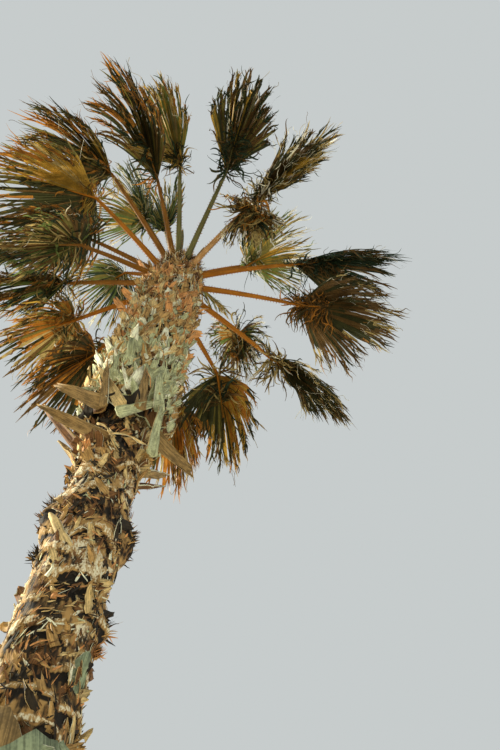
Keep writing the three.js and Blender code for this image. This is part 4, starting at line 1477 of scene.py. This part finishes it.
def turning(rng, number, steps):
    """Twists along strips, each from its own start and at its own rate."""
    return rng.uniform(-1.5, 1.5, (number, 1)) + rng.uniform(-2, 2, (number, 1)) * np.linspace(0, 1, steps)


class PALM_OT_fans(bpy.types.Operator):
    """Grows each fan: its pleated blade, free tips, hairs, side curls and threads"""

    bl_idname = "palm.fans"
    bl_label = "Fans"

    def execute(self, context):
        fans = context.scene.palm_fans
        paints = leaf_paints()
        thread_lines = {"p": [], "s": [], "b": []}
        for k, (first, last) in enumerate(FAN_GROUPS):
            blades, curls = Heap(), Heap()
            for f, row in zip(FRONDS[first:last], FROND_STYLES[first:last]):
                rng = np.random.default_rng(SEEDS["fans"] + f.number)
                self.fan(fans, f, FanStyle(*row), rng, blades, curls, thread_lines)
            blades.make(f"fans_{k + 1}", paints, "frond", *FROND_NODES[first:last])
            curls.make(f"curls_{k + 1}", paints, "frond", *FROND_NODES[first:last])
        meshes = []
        for letter, lines in thread_lines.items():
            material = paints[LEAF_TONES.index(letter)]
            meshes.append(threads_from(np.concatenate(lines), fans.thread_radius, material))
        join("threads", meshes, "frond")
        return {"FINISHED"}

    def fan(self, fans, f, style, rng, blades, curls, thread_lines):
        """One fan, from its segments to its threads."""
        number = fans.segments
        place = (np.arange(number) + 0.5 + rng.uniform(-0.05, 0.05, number)) * 2 / number - 1
        shares, ends = fan_shares(rng, number, style.split)
        lateral = f.across(place)
        centre = self.segments(f, style, rng, place, shares, ends, lateral)
        tip_tones = self.blade(f, style, rng, place, shares, ends, lateral, centre, blades)
        self.forks(f, style, rng, centre, lateral, tip_tones, curls)
        self.hair(fans, f, style, rng, centre, lateral, curls)
        self.side_curls(fans, f, style, rng, curls)
        self.threads(f, style, rng, centre, thread_lines)

    def segments(self, f, style, rng, place, shares, ends, lateral):
        """Centre lines of the segments, which hang, hook and sweep past the split."""
        number = len(place)
        middle = (shares[:, 1:] + shares[:, :-1]) / 2
        free = np.clip((middle - ends) / (1 - ends), 0, 1)
        hook = unit(rng.normal(0, 1, (number, 3)) - f.direction(f.angle(place)) * 0.5)
        amount = rng.uniform(0.1, 1.0, (number, 1)) * free**1.8
        sway = hook[:, None] * (amount * style.limp)[..., None]
        swept = style.sweep * (0.1 + 1.6 * ((place + 1) / 2) ** 2)[:, None]
        swept = swept * rng.uniform(0.6, 1.4, (number, 1))
        sway = sway + heading(style.sweep_turn, 0) * (swept * free)[..., None]
        phase, speed = rng.uniform(0, 6, (2, number, 1))
        sway = sway + lateral[:, None] * (0.22 * free * np.sin(phase + (3 + speed) * free))[..., None]
        slack = style.limp * rng.uniform(0.2, 1.6, (number, 1)) * free
        reach = rng.uniform(0.82, 1.06, number) * np.where(rng.random(number) < 0.1, 0.75, 1.0)
        return f.rays(place, reach, shares, slack, sway)

    def blade(self, f, style, rng, place, shares, ends, lateral, centre, blades):
        """Pleated strips along the segments. Gives the tones of their tips."""
        number = len(place)
        free = np.clip((shares - ends) / (1 - ends), 0, 1)
        gone = np.minimum(shares, ends) * (f.blade * (1 - OUTER_SHORTER * abs(place) ** 2))[:, None]
        step = 2 / number
        seen = abs(f.angle(place + step / 2) - f.angle(place - step / 2))[:, None] / 2 * gone
        true_half = gone * radians(FULL_PLEAT) / (2 * number) + 0.0015
        fold = np.arccos(np.clip(1.1 * seen / true_half, 0.2, 0.95))
        loose_fold = rng.uniform(0.2, 0.9, (number, 1))
        fold = fold + (loose_fold - fold) * np.minimum(1, free * 4)
        half = true_half * (1 - free**2.2) * (1 - 0.25 * np.minimum(1, free * 5)) + 0.0014
        twist = rng.uniform(-1.2, 1.2, (number, 1)) * free**1.5
        edge = rng.uniform(-0.12, 0.12, number)
        first, second = pick(rng, style.first, number), pick(rng, style.second, number)
        blade_tones = np.where(place < edge, first, second)
        tip_tones = np.where(rng.random(number) < 0.3, blade_tones, pick(rng, style.tips, number))
        near = free[:, 1:] < rng.uniform(0.1, 0.6, (number, 1))
        tones = np.where(near, blade_tones[:, None], tip_tones[:, None])
        across, lift = lateral[:, None] + 0 * centre, f.normal + 0 * centre
        strips(blades, centre, across, half, fold, tones, twist, lift)
        return tip_tones

    def forks(self, f, style, rng, centre, lateral, tones, curls):
        """Each free tip ends in two points."""
        number, steps = len(centre), 8
        for sign in (-1, 1):
            forward = unit(centre[:, FORK_AT + 1] - centre[:, FORK_AT - 1])
            direction = unit(forward + lateral * sign * rng.uniform(0.08, 0.35, (number, 1)))
            reach = rng.uniform(0.07, 0.17, number) * f.blade
            pull = style.limp * rng.uniform(0.2, 1.6, number)
            curl = rng.uniform(0.1, 0.5, number) * (0.5 + style.limp)
            line = wander(rng, centre[:, FORK_AT], direction, reach, steps, pull, curl)
            half = rng.uniform(0.005, 0.009, (number, 1)) * pointed(steps)
            twist = rng.uniform(-1.5, 1.5, (number, 1))
            hairs(curls, line, lateral[:, None] + 0 * line, half, tones[:, None], twist)

    def hair(self, fans, f, style, rng, centre, lateral, curls):
        """Torn strips among the free tips."""
        number, steps = int(style.hairs * fans.hair_share), 9
        tones = pick(rng, style.curls + style.tips, number)
        ray = rng.integers(0, len(centre), number)
        at = rng.integers(6, 13, number)
        forward = unit(centre[ray, at + 2] - centre[ray, at - 1])
        direction = unit(forward + rng.normal(0, 0.22, (number, 3)))
        reach = rng.uniform(0.09, 0.26, number) * f.blade
        pull, curl = style.limp * rng.uniform(0.3, 1.8, number), rng.uniform(0.2, 0.8, number)
        line = wander(rng, centre[ray, at], direction, reach, steps, pull, curl)
        half = fans.hair_width * rng.uniform(0.6, 1.5, (number, 1)) * pointed(steps)
        twist = turning(rng, number, steps)
        hairs(curls, line, lateral[ray][:, None] + 0 * line, half, tones[:, None], twist)

    def side_curls(self, fans, f, style, rng, curls):
        """Curling segments that spring from beside the hub and hang."""
        number, steps = 2 * style.curl_count, 12
        tones = pick(rng, style.curls, number)
        drift = heading(style.sweep_turn, 0) * style.sweep
        sign = np.where(np.arange(number) % 2, 1, -1)
        low = min(100, f.spread * 0.9)
        angle = sign * np.radians(rng.uniform(low, 150, number))
        direction = unit(f.direction(angle) + drift + rng.normal(0, 0.14, (number, 3)))
        start = f.hub + direction * 0.02
        start = start + f.along * rng.uniform(-0.04, style.spring, (number, 1)) * f.blade
        reach = fans.curl_length * (0.8 + 0.4 * style.limp) * rng.uniform(0.4, 1.3, number)
        pull, curl = rng.uniform(0.3, 2.2, number), rng.uniform(0.3, 1.2, number)
        line = wander(rng, start, direction, reach, steps, pull, curl)
        bulge = np.sin(pi * np.clip(0.15 + 0.85 * np.linspace(0, 1, steps), 0, 0.97)) ** 0.6
        half = (0.8 + 0.2 * style.limp) * rng.uniform(0.007, 0.015, (number, 1)) * bulge
        twist = turning(rng, number, steps)
        fold = rng.uniform(0.3, 0.9, (number, 1))
        strips(curls, line, f.normal + 0 * line, half, fold, tones[:, None], twist)

    def threads(self, f, style, rng, centre, thread_lines):
        """Fine threads that hang and float between the segments."""
        for k, lines in enumerate(thread_lines.values()):
            # Most threads are pale, partly painted glints of sun; eight each are straw and brown
            number = 8 if k else style.threads
            ray = rng.integers(0, len(centre), number)
            at = rng.integers(5, 14, number)
            forward = unit(centre[ray, at + 1] - centre[ray, at - 1])
            direction = unit(forward + rng.normal(0, 0.4, (number, 3)))
            reach = rng.uniform(0.08, 0.24, number) * f.blade
            pull, curl = rng.uniform(0.2, 1.8, number), rng.uniform(0.2, 0.8, number)
            lines.append(wander(rng, centre[ray, at], direction, reach, 10, pull, curl))


class PALM_OT_spears(bpy.types.Operator):
    """Builds the folded young leaves that stand on the bud"""

    bl_idname = "palm.spears"
    bl_label = "Spears"

    def execute(self, context):
        heap = Heap()
        rng = np.random.default_rng(SEEDS["spears"])
        places, sizes = np.array(SPEAR_PROFILE).T
        at = np.linspace(0, 1, SPEAR_STEPS)
        angle = np.arange(SPEAR_PLEATS) * 2 * pi / SPEAR_PLEATS
        ripple = 1 - 0.2 * (np.arange(SPEAR_PLEATS) % 2)
        radius = np.interp(at, places, sizes)[:, None] * ripple
        for turn, rise, reach in SPEARS:
            start = axis_at(BUD - SPEAR_ROOT) + heading(turn, 0) * SPEAR_ROOT
            direction = heading(turn, rise)
            side = unit(np.cross(direction, UP))
            normal = np.cross(side, direction)
            ring = (
                start
                + direction * (at * reach)[:, None, None]
                + side * (radius * np.cos(angle))[..., None]
                + normal * (0.6 * radius * np.sin(angle))[..., None]
            )
            heap.add(ring, grids(1, SPEAR_STEPS, SPEAR_PLEATS, wrap=True), pick(rng, "ngo", 1)[0])
        heap.make("spears", leaf_paints(), "spear", "spear_1", "spear_2", "spear_3")
        return {"FINISHED"}


class PALM_PT_parts(bpy.types.Panel):
    """The palm's pieces, in the order in which they are made"""

    bl_label = "Fan palm"
    bl_idname = "PALM_PT_parts"
    bl_space_type = "VIEW_3D"
    bl_region_type = "UI"
    bl_category = "Palm"

    def draw(self, context):
        for one in OPERATORS:
            self.layout.operator(one.bl_idname)


OPERATORS = (
    PALM_OT_stage,
    PALM_OT_trunk,
    PALM_OT_scraps,
    PALM_OT_bases,
    PALM_OT_broken,
    PALM_OT_stalks,
    PALM_OT_fans,
    PALM_OT_spears,
)
CLASSES = (PalmFans, PalmStem, *OPERATORS, PALM_PT_parts)


def register():
    for one in CLASSES:
        bpy.utils.register_class(one)
    bpy.types.Scene.palm_fans = bpy.props.PointerProperty(type=PalmFans)
    bpy.types.Scene.palm_stem = bpy.props.PointerProperty(type=PalmStem)


def unregister():
    del bpy.types.Scene.palm_fans, bpy.types.Scene.palm_stem
    for one in reversed(CLASSES):
        bpy.utils.unregister_class(one)


def main():
    register()
    for make in ("stage", "trunk", "scraps", "bases", "broken", "stalks", "fans", "spears"):
        getattr(bpy.ops.palm, make)()


if __name__ == "__main__":
    main()
